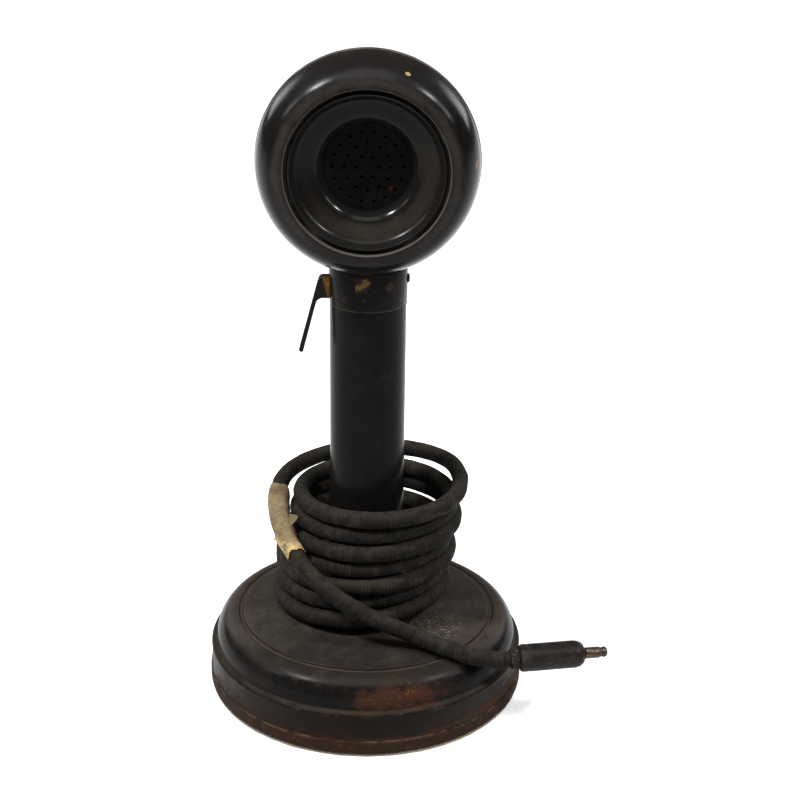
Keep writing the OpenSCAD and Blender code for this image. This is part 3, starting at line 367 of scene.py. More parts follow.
folds = cloth_folds(2.4, 1.4, 0.0)
braid.raise_by(folds, 0.9)
# Painted shade darkens the fold hollows and a painted sheen lightens the fold tops.
braid.coat(braid.step(folds, 0.44, 0.3), (0.005, 0.0043, 0.0037), 0.95)
braid.coat(braid.step(folds, 0.54, 0.72), (0.019, 0.0158, 0.0127), 0.6)
rubbed = cloth_folds(9.0, 2.0, 4.0)
braid.coat(braid.step(rubbed, 0.5, 0.66), (0.02, 0.0166, 0.013), 0.7)
dust_on_top = braid.both(braid.facing_up(0.2, 0.95),
                         braid.clouds((5, 5, 0.7), 0.36, 0.62, 0.15, 0.9, shift=5))
braid.coat(dust_on_top, (0.025, 0.021, 0.0165), 0.95)
frayed = braid.both(braid.specks(1.3, 0.68), braid.clouds((18, 3, 0.6), 0.52, 0.6, shift=7))
braid.coat(frayed, (0.07, 0.058, 0.043), 0.95, 0.1)
braid.coat(braid.specks(0.9, 0.79, 3.1), (0.2, 0.175, 0.14), 0.95, 0.1)
cord.data.materials.append(braid.done())
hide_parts("cord_lead", "cord_coil", "cord_tail")
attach(cord, "stand")

# ---- Paper tape on the cord ----
# A strip of gummed paper tape is wrapped once and a bit round the cord as a
# blank label; its edges are torn and a corner has come unstuck.
tape_from, tape_to = 8, 11
paper_t, lap, looseness, tear, tear_steps = 0.25, 0.35, 1.4, 1.9, 6
unstuck_side = Vector((0.95, -0.3, 0.1))


def nearest(points, place):
    return min(range(len(points)), key=lambda i: (points[i] - Vector(place)).length)


def as_mesh(curve_object):
    """Turns a curve piece into a bmesh and takes the curve away."""
    scene_now = bpy.context.evaluated_depsgraph_get()
    bm = bmesh.new()
    bm.from_mesh(bpy.data.meshes.new_from_object(curve_object.evaluated_get(scene_now)))
    bpy.data.objects.remove(curve_object)
    return bm


tape_line, _ = evenly(cord_line[nearest(cord_line, tail_points[tape_from]):
                                nearest(cord_line, tail_points[tape_to]) + 1], 0.7)
last = len(tape_line) - 1
bm = as_mesh(swept("paper_tape", tape_line, cord_d / 2 + lap, 15, ends=False))
for v in bm.verts:
    k = nearest(tape_line, v.co / mm)
    share = k / len(tape_line)
    heading = (tape_line[min(k + 1, last)] - tape_line[max(k - 1, 0)]).normalized()
    out = (v.co - tape_line[k] * mm).normalized()
    side = heading.cross(Vector((0, 0, 1))).normalized()
    around = math.atan2(out.dot(side.cross(heading)), out.dot(side)) / (2 * math.pi) + 0.5
    wrinkle = (noise.noise(Vector((k * 0.11, around * 5, 0)))
               + 0.5 * noise.noise(Vector((k * 0.3, around * 9, 7))))
    crumpled = 0.28 + 0.5 * max(0, min(1, (share - 0.55) * 4))
    v.co += out * (lap * around + crumpled * wrinkle) * mm
    slack = max(0, out.dot(unstuck_side)) ** 2 * max(0, min(1, (0.8 - share) * 3, 0.4 + k / 9))
    v.co += out * looseness * slack * mm
    torn = max(0, 1 - k / tear_steps) - max(0, 1 - (last - k) / tear_steps)
    v.co += heading * torn * tear * mm * (noise.noise(Vector((around * 7, k * 0.02, 3))) - 0.3)


def loose_corner(bm, share, out, length, width, droop):
    """A torn corner of the tape that stands off the cord, its tip bent."""
    k = int(share * last)
    heading = (tape_line[k + 1] - tape_line[k - 1]).normalized()
    out = (Vector(out) - heading * Vector(out).dot(heading)).normalized()
    flap = bmesh.ops.create_grid(bm, x_segments=14, y_segments=10, size=0.5)["verts"]
    for v in flap:
        reach, spread = v.co.x + 0.5, v.co.y
        spread *= width * (1 - reach) ** 0.8 + 0.25 * noise.noise(Vector((reach * 4, share * 9, 1)))
        bend = droop * reach ** 2 + 0.25 * noise.noise(Vector((reach * 3, spread, share * 5)))
        v.co = (tape_line[k] + out * (cord_d / 2 + 0.2 + length * reach) + heading * spread
                + out.cross(heading) * (bend + 0.5 * spread * reach)) * mm


loose_corner(bm, 0.56, (1, -0.5, 0.35), 4.8, 6.5, 1.4)
loose_corner(bm, 0.62, (0.75, -0.8, 0.2), 4.0, 6.0, 2.6)
loose_corner(bm, 0.72, (-1, -0.3, -0.2), 1.6, 2.6, -0.5)
bmesh.ops.recalc_face_normals(bm, faces=bm.faces)
tape = piece("paper_tape", bm)
thick = tape.modifiers.new("paper", "SOLIDIFY")
thick.thickness = paper_t * mm
thick.offset = -1

tape_paper = Finish("aged_tape", (0.175, 0.128, 0.066), 0.75, Specular_IOR_Level=0.2)
uneven_height = tape_paper.sum("MULTIPLY_ADD", tape_paper.grain(5, 5, 0.7, shift=6), 6 * mm,
                               tape_paper.along(2))
clean_end = tape_paper.step(uneven_height, 85 * mm, 82 * mm)
tape_paper.coat(clean_end, (0.4, 0.3, 0.14), 0.7)
tape_paper.coat(tape_paper.clouds((6, 6, 0.75), 0.42, 0.62, 0.0, 0.85), (0.1, 0.072, 0.04), 0.8)
tape_paper.coat(tape_paper.clouds((2.2, 4, 0.6), 0.56, 0.68, 0.0, 0.7, shift=4),
                (0.09, 0.066, 0.043), 0.85)
tape_paper.coat(tape_paper.specks(0.7, 0.67, 2.2), (0.05, 0.04, 0.03))
tape_paper.raise_by(tape_paper.grain(1.6, 5, 0.6), 0.2)
tape.data.materials.append(tape_paper.done())
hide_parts("tape_label")
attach(tape, "stand")

# ---- Whipping at the plug ----
# Waxed linen thread is whipped round the braid behind the plug to stop it
# fraying, in five turns laid side by side.
whip_turns, whip_l, whip_steps = 5, 4.5, 32
thread_d, thread_lift = 0.9, 0.42
whip_line = []
plug_side = plug_heading.cross(Vector((0, 0, 1)))
for i in range(whip_turns * whip_steps + 1):
    a = 2 * math.pi * i / whip_steps
    run = -whip_l + thread_d / 2 + (whip_l - thread_d) * i / (whip_turns * whip_steps)
    out = plug_side * math.cos(a) + Vector((0, 0, 1)) * math.sin(a)
    whip_line.append(plug_root + plug_heading * run + out * (cord_d / 2 + thread_lift))
whipping = piece("thread_whipping", as_mesh(swept("thread_whipping", whip_line, thread_d / 2, 3)))

linen = Finish("waxed_linen", (0.012, 0.0105, 0.009), 0.75, Specular_IOR_Level=0.1)
linen.raise_by(linen.grain(0.35, 3, 0.6), 0.08)
linen.coat(linen.clouds((1.4, 4, 0.7), 0.5, 0.7), (0.075, 0.06, 0.042), 0.9)
whipping.data.materials.append(linen.done())
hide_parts("cord_whipping")
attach(whipping, "stand")

# ---- Plug ----
# A telephone plug: a turned black composition shell over a brass sleeve, a
# dark insulating ring and a small brass tip.
plug_l, plug_r, nose_l, nose_r = 30.1, 6.25, 5.0, 3.2
sleeve_l, sleeve_r = 7.3, 2.6
ring_z = plug_l + sleeve_l
tip_z = ring_z + 0.8
on_plug = Matrix.Translation(plug_root * mm) @ plug_heading.to_track_quat("Z", "Y").to_matrix().to_4x4()


def at_plug(bm):
    bm.transform(on_plug)
    return bm


def arc(cx, cy, rx, ry, start, end, steps):
    """Points of an elliptic arc between two angles in degrees."""
    angles = [math.radians(start + (end - start) * i / steps) for i in range(steps + 1)]
    return [(cx + rx * math.cos(a), cy + ry * math.sin(a)) for a in angles]


def eased_edges(made, width, angle=24, segments=3):
    """Breaks the sharp edges of a piece with a small round, in millimetres."""
    ease = made.modifiers.new("eased_edges", "BEVEL")
    ease.width = width * mm
    ease.segments = segments
    ease.limit_method = "ANGLE"
    ease.angle_limit = math.radians(angle)
    ease.harden_normals = True


plug_shell = piece("plug_shell_turned", at_plug(turned(
    [(0, 0), (5.15, 0), (5.7, 0.35)] + arc(5.65, 1.8, 0.6, 1.2, -60, 0, 6)
    + [(plug_r, 3.6), (plug_r - 0.2, 3.75), (plug_r - 0.2, 4.15), (plug_r, 4.3)]
    + arc(plug_r - nose_r, plug_l - nose_l, nose_r, nose_l, 0, 90, 16) + [(0, plug_l)], 96)))
eased_edges(plug_shell, 0.12)

composition = Finish("black_composition", (0.0085, 0.0073, 0.0066), 0.4, Specular_IOR_Level=0.1)
composition.coat(composition.clouds((9, 5, 0.65), 0.4, 0.65), (0.019, 0.0165, 0.0148), 0.55)
composition.coat(composition.specks(0.8, 0.7), (0.1, 0.085, 0.065), 0.8)
composition.raise_by(composition.grain(0.9, 3, 0.6, stretch=(0.3, 1, 1)), 0.02)
plug_shell.data.materials.append(composition.done())
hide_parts("plug_shell")

plug_sleeve = piece("plug_sleeve_turned", at_plug(turned(
    [(0, plug_l - 2), (sleeve_r - 0.35, plug_l - 2), (sleeve_r - 0.35, plug_l + 0.4),
     (sleeve_r - 0.15, plug_l + 0.4), (sleeve_r, plug_l + 0.55), (sleeve_r, ring_z - 0.15),
     (sleeve_r - 0.15, ring_z), (0, ring_z)], 64)))
plug_ring = piece("plug_ring_turned", at_plug(turned(
    [(0, ring_z - 0.2), (2.2, ring_z - 0.2), (2.3, ring_z + 0.1), (2.3, ring_z + 0.7),
     (2.2, ring_z + 1), (0, ring_z + 1)], 64)))
plug_tip = piece("plug_tip_turned", at_plug(turned(
    [(0, tip_z), (2.0, tip_z), (2.1, tip_z + 0.3)] + arc(1.0, tip_z + 1.45, 1.5, 1.1, -45, 30, 8)
    + arc(0.0, tip_z + 1.6, 2.45, 1.65, 20, 90, 8), 64)))


def worn_brass(name, shift, tarnish=(0.045, 0.028, 0.014), bare=(0.27, 0.19, 0.1)):
    """Old brass: brown where it has dulled, yellower where hands have kept it rubbed."""
    brass = Finish(name, bare, 0.38, Metallic=1.0, Specular_IOR_Level=0.1)
    dulled = tuple(c * 0.5 for c in bare)
    brass.coat(brass.clouds((3.4, 6, 0.7), 0.34, 0.6, shift=shift), dulled, 0.5)
    brass.coat(brass.clouds((1.2, 4, 0.7), 0.52, 0.66, shift=shift + 2), tarnish, 0.7)
    brass.raise_by(brass.grain(0.5, 3, 0.6, shift=shift), 0.012)
    return brass


for made, node, bare in ((plug_sleeve, "plug_sleeve", (0.15, 0.108, 0.08)),
                         (plug_tip, "plug_tip", (0.085, 0.065, 0.05))):
    made.data.materials.append(worn_brass(node + "_brass", len(node), bare=bare).done())
    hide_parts(node)
ring_fibre = Finish("plug_ring_fibre", (0.02, 0.014, 0.01), 0.5)
ring_fibre.raise_by(ring_fibre.grain(0.4, 3, 0.6), 0.02)
plug_ring.data.materials.append(ring_fibre.done())
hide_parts("plug_insulator")
for made in (plug_shell, plug_sleeve, plug_ring, plug_tip):
    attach(made, "stand")

# ---- Foot: felt, pan and ballast ----
# A sheet-steel pan with an upturned rim closes the base over an iron ballast
# ring; it is screwed up from below and stands on a pad of pressed wool felt.
felt_r, felt_t = 73.5, 1.4
bm = turned([(0, 0), (felt_r, 0)] + arc(felt_r, felt_t / 2, 0.55, felt_t / 2, -90, 90, 6)
            + [(felt_r, felt_t), (0, felt_t)], 192)
for v in bm.verts:
    if v.co.xy.length > (felt_r - 1) * mm:
        v.co.xy *= 1 + 0.004 * noise.noise(v.co * 260)
felt = piece("felt_disc", bm)

wool = Finish("wool_felt", (0.2, 0.175, 0.125), 0.95, Specular_IOR_Level=0.1)
wool.coat(wool.clouds((18, 5, 0.7), 0.4, 0.65), (0.19, 0.16, 0.115))
wool.coat(wool.specks(0.8, 0.62), (0.42, 0.39, 0.3))
wool.raise_by(wool.grain(0.7, 4, 0.75), 0.25)
felt.data.materials.append(wool.done())
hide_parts("felt_pad")
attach(felt, "stand")


def finish_nodes(material, *names, eased=0.0):
    """Gives CAD nodes that keep their own shape a finish, and eases their edges where asked."""
    for name in names:
        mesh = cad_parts[name].data
        mesh.materials.clear()
        mesh.materials.append(material)
        if eased:
            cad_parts[name].modifiers.new("joined", "WELD").merge_threshold = 1e-6
            eased_edges(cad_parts[name], eased, 35, 2)


pan = Finish("pan_enamel", (0.0085, 0.007, 0.006), 0.45, Specular_IOR_Level=0.06)
pan.coat(pan.clouds((11, 6, 0.7), 0.34, 0.55), (0.02, 0.0102, 0.0062), 0.75)
pan.coat(pan.clouds((4.5, 6, 0.75), 0.5, 0.62, shift=3), (0.036, 0.0165, 0.0088), 0.9, 0.06)
rim_line = pan.both(pan.band(pan.along(2), 7.4, 9.5, 0.5, 0.7, 5, 2),
                    pan.clouds((9, 5, 0.7), 0.45, 0.6, shift=6))
pan.coat(rim_line, (0.06, 0.036, 0.022), 0.85)
pan.raise_by(pan.grain(1.0, 4, 0.7), 0.06)
finish_nodes(pan.done(), "base_pan")

iron = Finish("cast_iron", (0.045, 0.043, 0.042), 0.75, Metallic=0.35)
iron.coat(iron.clouds((9, 6, 0.7), 0.45, 0.65), (0.075, 0.028, 0.012), 0.9)
iron.raise_by(iron.grain(1.2, 5, 0.7), 0.18)
finish_nodes(iron.done(), "ballast_ring")

zinc = Finish("screw_steel", (0.42, 0.41, 0.39), 0.36, Metallic=1.0)
zinc.coat(zinc.clouds((2.4, 5, 0.7), 0.42, 0.62), (0.16, 0.13, 0.1), 0.6)
zinc.coat(zinc.clouds((1.1, 5, 0.7), 0.58, 0.68, shift=5), (0.1, 0.045, 0.02), 0.85)
zinc.raise_by(zinc.grain(0.6, 3, 0.6), 0.012)
screw_steel = zinc.done()
finish_nodes(screw_steel, "pan_screws")

# ---- Base shell ----
# Spun steel, black japanned and stoved: a tapered skirt with a bead rolled
# round it, a rounded shoulder, and a nearly flat deck inside a pressed groove.
skirt_r, skirt_z, bead_r, bead_z = 74.3, 8.4, 73.5, 20.2
groove_r, shoulder_z, shoulder_w, shoulder_h = 61.0, 23.7, 10.2, 11.7
deck_z, deck_flat_r, stem_hole_r, shell_wall = 38.4, 24.0, 17.2, 1.8
shell_outline = (
    [(skirt_r - 0.2, skirt_z), (skirt_r, skirt_z + 0.3), (bead_r, bead_z - 1.1)]
    + arc(bead_r - 0.2, bead_z, 0.68, 1.05, -65, 70, 10)
    + [(72.9, 21.5), (72.1, 21.75), (71.7, 22.05), (71.45, 22.6)]
    + arc(groove_r, shoulder_z, shoulder_w, shoulder_h, 0, 88, 30)
    + arc(59.95, 35.65, 0.92, 0.8, -18, -180, 10)
    + [(58.6, 36.0), (56, 36.3), (deck_flat_r, deck_z), (stem_hole_r, deck_z)]
    + [(stem_hole_r, deck_z - shell_wall), (deck_flat_r, deck_z - shell_wall), (58.5, 34.2)]
    + arc(groove_r, shoulder_z, shoulder_w - shell_wall, shoulder_h - shell_wall, 90, 0, 12)
    + [(69.7, 22.2), (bead_r - shell_wall, bead_z - 1.1), (skirt_r - shell_wall, skirt_z)])
bm = turned(shell_outline, 256)
# Spinning leaves the wall slightly wavy, less so towards the stem.
for v in bm.verts:
    stray = noise.noise(v.co * 14) * 0.16 + noise.noise(v.co * 45) * 0.05
    outward = Vector((v.co.x, v.co.y, 0)).normalized()
    v.co += outward * stray * mm * min(1, v.co.xy.length / (40 * mm))
shell = piece("spun_shell", bm)


def japan(name, shift, gloss, bloom=1.0, dust=0.5, grit=0.7, gleam=0.09, scratched=0.3):
    """Black stoving japan with orange peel, greasy bloom, hair scratches, dust and grit."""
    black = Finish(name, (0.0048, 0.0044, 0.0042), gloss, Specular_IOR_Level=gleam)
    black.raise_by(black.grain(2.2, 2, 0.5, shift=shift), 0.012)
    greasy = black.clouds((24, 6, 0.65), 0.38, 0.68, 0.0, bloom, shift)
    black.coat(greasy, (0.0115, 0.0097, 0.0086), gloss + 0.12)
    handled = black.clouds((5, 6, 0.75), 0.5, 0.72, 0.0, bloom, shift + 1)
    black.coat(handled, (0.016, 0.0132, 0.0112), gloss + 0.2)
    hair = black.grain(1.1, 2, 0.4, stretch=(1, 0.07, 0.3), shift=shift + 2)
    black.coat(black.step(hair, 0.66, 0.7, 0.0, scratched), (0.04, 0.035, 0.03), 0.5)
    settled = black.both(black.facing_up(0.6, 1.0),
                         black.clouds((11, 6, 0.75), 0.25, 0.7, 0.4, 1.0, shift + 3))
    black.coat(black.sum("MULTIPLY", settled, dust), (0.066, 0.054, 0.044), 0.75)
    gritty = black.both(black.specks(0.8, grit, shift + 4),
                        black.clouds((17, 4, 0.6), 0.48, 0.6, shift=shift + 6))
    black.coat(gritty, (0.09, 0.075, 0.055), 0.85)
    return black


shell_japan = japan("shell_japan", 1.0, 0.18, 0.6, dust=0.62, grit=0.76, gleam=0.04, scratched=0.06)
out_from_stem = shell_japan.off_axis((0, 0, 0), (0, 0, 1))
across, backwards, height = (shell_japan.along(axis) for axis in range(3))

# The deck is scuffed under the coil and gritty at the front right; in front it carries painted shade
# from the cord, darker and less dusty, as if wiped.
worn_deck = shell_japan.both(shell_japan.band(out_from_stem, 16, 58, 2),
                             shell_japan.clouds((2.6, 6, 0.8), 0.5, 0.62, shift=21))
shell_japan.coat(shell_japan.sum("MULTIPLY", worn_deck, 0.7), (0.02, 0.0165, 0.0135), 0.5)
grit_front = shell_japan.both(shell_japan.patch((33, -22, 37), 14, 0.6, 9, 5),
                              shell_japan.specks(1.2, 0.6, 14))
shell_japan.coat(grit_front, (0.12, 0.1, 0.078), 0.9, 0.05)
# Painted shade: the front of the deck is darkened where the cord's shadow falls, over a wiped, less
# dusty patch.
cord_shade_and_wiped = shell_japan.both(shell_japan.step(backwards, -0.02, -0.05), shell_japan.band(height, 33, 42, 2),
                         shell_japan.clouds((14, 5, 0.7), 0.3, 0.55, 0.4, 0.85, 24))
shell_japan.coat(cord_shade_and_wiped, (0.011, 0.0092, 0.0078), 0.35)

# Dirt lies in the groove and over the bead, and a dull brown film covers the skirt.
groove_dirt = shell_japan.both(shell_japan.band(out_from_stem, 59.2, 60.7, 0.3, 0.5, 7),
                               shell_japan.clouds((12, 5, 0.7), 0.3, 0.6, 0.4, 1.0, 16))
shell_japan.coat(groove_dirt, (0.042, 0.03, 0.02), 0.9)
skirt_film = shell_japan.both(shell_japan.band(height, 6, 21.2, 1.0, 1.2, 8, 4),
                              shell_japan.clouds((10, 6, 0.75), 0.3, 0.6, 0.45, 1.0, 26))
shell_japan.coat(skirt_film, (0.0066, 0.0048, 0.0037), 0.44)
shell_japan.coat(shell_japan.band(height, 20.9, 23.4, 0.6), (0.0072, 0.006, 0.0053), 0.35)
bead_dirt = shell_japan.both(shell_japan.band(height, 21.3, 22.3, 0.3, 0.5, 8, 2),
                             shell_japan.clouds((10, 5, 0.7), 0.35, 0.6, 0.25, 0.9, 17))
shell_japan.coat(bead_dirt, (0.026, 0.0185, 0.0135), 0.85)

# Rust creeps up from the pan's rim, higher on the right than on the left.
lower_on_left = shell_japan.sum("MULTIPLY_ADD", shell_japan.step(across, 15 * mm, 70 * mm), -4.5 * mm,
                                height)
foot_rust = shell_japan.band(lower_on_left, 1.0, 9.2, 0.6, 2.2, 9, 3)
shell_japan.coat(foot_rust, (0.036, 0.0195, 0.0115), 0.85, 0.04)
creeping_rust = shell_japan.both(shell_japan.band(lower_on_left, 7.0, 13.5, 2.0, 3.5, 8, 6),
                                 shell_japan.clouds((5, 6, 0.75), 0.38, 0.64, shift=28))
shell_japan.coat(shell_japan.sum("MULTIPLY", creeping_rust, 0.75), (0.022, 0.0118, 0.0072), 0.7)

# One long rusty smear lies on the shoulder in front, reddest at its right end.
smear_x, smear_z, smear_w, smear_h = 14, 27, 21, 6.5
smear_across = shell_japan.sum("MULTIPLY_ADD", across, 1 / (smear_w * mm), -smear_x / smear_w)
smear_up = shell_japan.sum("MULTIPLY_ADD", height, 1 / (smear_h * mm), -smear_z / smear_h)
oval = shell_japan.sum("SQRT", shell_japan.sum("ADD", shell_japan.sum("POWER", smear_across, 2),
                                               shell_japan.sum("POWER", smear_up, 2)))
ragged_oval = shell_japan.sum("MULTIPLY_ADD", shell_japan.grain(6, 6, 0.75, (0.6, 1, 1.3), 8), 2.4,
                              shell_japan.sum("SUBTRACT", oval, 1.2))
front_rust = shell_japan.both(shell_japan.step(ragged_oval, 1.15, 0.4),
                              shell_japan.step(backwards, 0.0, -0.02))
shell_japan.coat(shell_japan.sum("MULTIPLY", front_rust, 0.72), (0.042, 0.0175, 0.0092), 0.65)
redder = shell_japan.both(front_rust, shell_japan.step(across, 18 * mm, 27 * mm),
                          shell_japan.clouds((4, 5, 0.7), 0.4, 0.6, shift=27))
shell_japan.coat(shell_japan.sum("MULTIPLY", redder, 0.6), (0.058, 0.0172, 0.0075), 0.65)
brightest = shell_japan.both(front_rust, shell_japan.clouds((2.2, 5, 0.7), 0.6, 0.68, shift=10))
shell_japan.coat(brightest, (0.11, 0.052, 0.02), 0.8)
# A painted highlight runs along the bead, partly rubbed paint, as a line of lighter, duller specks.
bead_highlight_and_rubs = shell_japan.both(shell_japan.band(height, 19.8, 20.8, 0.3, 0.3, 5, 5),
                               shell_japan.clouds((7, 5, 0.7), 0.52, 0.64, shift=9))
shell_japan.coat(bead_highlight_and_rubs, (0.034, 0.0255, 0.019), 0.45)
shell.data.materials.append(shell_japan.done())
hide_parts("base_shell")
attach(shell, "stand")

# ---- Cord bushing, clamp and terminals ----
# The cord enters through a fibre bushing held by a brass nut. Inside the base a
# brass strap grips it, and its cotton-covered lead ends on a fibre block with
# four brass screws.
fibre = Finish("black_fibre", (0.02, 0.015, 0.012), 0.48)
fibre.coat(fibre.clouds((6, 5, 0.7), 0.42, 0.64), (0.045, 0.033, 0.024), 0.65)
fibre.raise_by(fibre.grain(0.8, 4, 0.65), 0.04)
finish_nodes(fibre.done(), "cord_bushing", "terminal_block", eased=0.3)
inner_brass = worn_brass("inner_brass", 6.0, (0.11, 0.07, 0.035)).done()
finish_nodes(inner_brass, "bushing_nut", "cord_clamp", "clamp_screws", "terminal_screws")


def cotton_lead(name, colour, dark):
    """Cotton-covered hook-up wire, uneven in colour and slightly rough."""
    cotton = Finish(name, colour, 0.85, Sheen_Weight=0.2)
    cotton.coat(cotton.clouds((1.6, 4, 0.7), 0.4, 0.65), dark, 0.9)
    cotton.raise_by(cotton.grain(0.35, 3, 0.6), 0.1)
    return cotton.done()


finish_nodes(cotton_lead("tan_cotton", (0.28, 0.17, 0.075), (0.16, 0.1, 0.05)), "base_leads")

# ---- Stem ----
# A brass tube, japanned black, stands in a turned flange and is pulled down
# by a washer and a large brass nut under the deck. A lead runs up inside it.
stem_japan = japan("stem_japan", 5.0, 0.22, 0.25, dust=0.3, grit=0.9, gleam=0.04, scratched=0.02)
scuff = stem_japan.both(stem_japan.patch((8.5, -15, 156), 5.0, 0.9, 4, 2),
                        stem_japan.clouds((5, 4, 0.6), 0.38, 0.66, shift=3))
stem_japan.coat(stem_japan.sum("MULTIPLY", scuff, 0.4), (0.014, 0.012, 0.0108), 0.45)
finish_nodes(stem_japan.done(), "stem_tube", "stem_foot")
finish_nodes(screw_steel, "stem_washer")
finish_nodes(inner_brass, "stem_nut")
green_cotton = cotton_lead("green_cotton", (0.06, 0.13, 0.05), (0.03, 0.07, 0.03))
finish_nodes(green_cotton, "stem_leads")

# ---- Collar ----
# A cast cap sleeves over the top of the stem, carries the two ears of the
# tilting joint, and is held by one screw at the side and one at the back. Its
# japan is chipped in front.
collar_japan = japan("collar_japan", 7.0, 0.22, 0.5, dust=0.4, gleam=0.04, scratched=0.08)
lip = collar_japan.both(collar_japan.band(collar_japan.along(2), 188.6, 189.75, 0.25, 0.35, 3, 2),
                        collar_japan.clouds((3, 5, 0.7), 0.36, 0.55, shift=3))
collar_japan.coat(lip, (0.035, 0.027, 0.021), 0.6)
stained = collar_japan.patch((-2.2, -17.3, 201.4), 3.8, 1.0, 3, 6)
collar_japan.coat(stained, (0.024, 0.014, 0.0105), 0.6)
chipped = collar_japan.either(collar_japan.patch((-0.5, -17.3, 203.2), 1.7, 1.7, 0.9, 1),
                              collar_japan.patch((-1.9, -17.3, 201.7), 1.5, 1.8, 0.8, 5),
                              collar_japan.patch((-3.9, -17.0, 200.6), 1.4, 1.8, 0.9, 8))
collar_japan.coat(chipped, (0.125, 0.078, 0.03), 0.45, -0.03)
for place, reach, colour in (((-1.4, -17.4, 194.9), 1.0, (0.026, 0.019, 0.013)),
                             ((9.7, -14.5, 200.5), 2.2, (0.026, 0.02, 0.017)),
                             ((-10, -14.3, 194.5), 1.6, (0.02, 0.012, 0.01))):
    collar_japan.coat(collar_japan.patch(place, reach, 1.3, 1.2), colour, 0.5)
finish_nodes(collar_japan.done(), "stem_cap", eased=0.2)
side_screw_brass = worn_brass("side_screw_brass", 3.0, (0.02, 0.012, 0.01), (0.06, 0.042, 0.028))
finish_nodes(side_screw_brass.done(), "cap_screws")

# ---- Contact works ----
# Inside the collar a bent steel frame carries the lever's pin and a pile of
# red fibre blocks that clamps two nickel-silver contact springs.
frame_steel = Finish("frame_steel", (0.36, 0.33, 0.27), 0.42, Metallic=1.0)
frame_steel.coat(frame_steel.clouds((6, 5, 0.7), 0.45, 0.68), (0.2, 0.17, 0.12), 0.6)
frame_steel.raise_by(frame_steel.grain(0.6, 3, 0.6, stretch=(1, 1, 0.1)), 0.012)
finish_nodes(frame_steel.done(), "contact_frame", "pile_plate")
finish_nodes(screw_steel, "lever_pin", "pile_screws")
red_fibre = Finish("red_fibre", (0.2, 0.05, 0.025), 0.55)
red_fibre.coat(red_fibre.clouds((4, 5, 0.7), 0.45, 0.7), (0.12, 0.03, 0.018), 0.7)
red_fibre.raise_by(red_fibre.grain(0.5, 4, 0.7), 0.03)
finish_nodes(red_fibre.done(), "pile_insulators", "lever_stud")
nickel = Finish("nickel_silver", (0.6, 0.57, 0.49), 0.26, Metallic=1.0)
nickel.coat(nickel.clouds((5, 4, 0.6), 0.5, 0.7), (0.45, 0.41, 0.33), 0.4)
nickel.raise_by(nickel.grain(0.5, 2, 0.5, stretch=(1, 1, 0.08)), 0.008)
finish_nodes(nickel.done(), "fixed_blade", "blade_root", "moving_blade")

# ---- Talk lever ----
# A brass lever, japanned on its outer faces; squeezing its finger piece to
# the stem closes the contacts. The inner face has worn back to bare brass.
paint_edge = 30.5
lever_finish = worn_brass("lever_brass", 9.0, (0.13, 0.06, 0.014), (0.19, 0.092, 0.02))
lean = lever_finish.sum("MULTIPLY_ADD", lever_finish.along(2), 0.25, lever_finish.along(0))
painted = lever_finish.sum("MULTIPLY_ADD", lever_finish.grain(1.6, 5, 0.7), 1.2 * mm, lean)
on_paint = lever_finish.step(painted, (paint_edge - 0.4) * mm, (paint_edge + 0.4) * mm, 1.0, 0.0)
lever_finish.coat(on_paint, (0.0055, 0.005, 0.0047), 0.3)
bare_metal = lever_finish.sum("SUBTRACT", 1.0, on_paint)
lever_finish.tree.links.new(bare_metal, lever_finish.shader.inputs["Metallic"])
finish_nodes(lever_finish.done(), "talk_lever", eased=0.3)

# ---- Tilting joint ----
# The head's japanned lug turns on a slotted steel screw between the collar's
# ears; a blackened nut sets how stiffly. Four screws hold the lug to the cup.
tilt_black = Finish("blackened_steel", (0.03, 0.027, 0.025), 0.42, Metallic=0.6)
tilt_black.coat(tilt_black.clouds((3, 5, 0.7), 0.45, 0.65), (0.08, 0.05, 0.03), 0.7)
tilt_black.raise_by(tilt_black.grain(0.8, 4, 0.6), 0.02)
finish_nodes(tilt_black.done(), "tilt_nut", eased=0.25)
finish_nodes(screw_steel, "tilt_screw", "lug_screws")
finish_nodes(japan("lug_japan", 11.0, 0.25, dust=0.4).done(), "head_lug", eased=0.35)

# ---- Back cup ----
# A drawn brass cup, japanned, closes the head from behind; three screws hold
# its flange to bosses inside the face.
head_z = 256.4
cup_back, cup_r, cup_corner, cup_wall = 9, 33, 6, 1.2
flange_r, flange_back, flange_front = 45.9, 17, 18.4
corner_r, corner_z = cup_r - cup_corner, cup_corner - cup_back
on_head = Matrix.Translation((0, 0, head_z * mm)) @ Matrix.Rotation(math.radians(90), 4, "X")


def at_head(bm):
    bm.transform(on_head)
    return bm


cup = piece("drawn_cup", at_head(turned(
    [(0, -cup_back), (12, -cup_back), (corner_r, -cup_back)]
    + arc(corner_r, corner_z, cup_corner, cup_corner, -88, 0, 20) + [(cup_r, 6), (cup_r, 14)]
    + arc(cup_r + 3, 14, 3, 3, 178, 90, 10) + [(flange_r, flange_back), (flange_r, flange_front)]
    + [(cup_r - cup_wall, flange_front), (cup_r - cup_wall, corner_z)]
    + arc(corner_r, corner_z, cup_corner - cup_wall, cup_corner - cup_wall, 0, -90, 10)
    + [(0, cup_wall - cup_back)], 192)))
cup.data.materials.append(japan("cup_japan", 13.0, 0.14).done())
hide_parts("back_cup")
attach(cup, "head")
finish_nodes(screw_steel, "cup_screws")

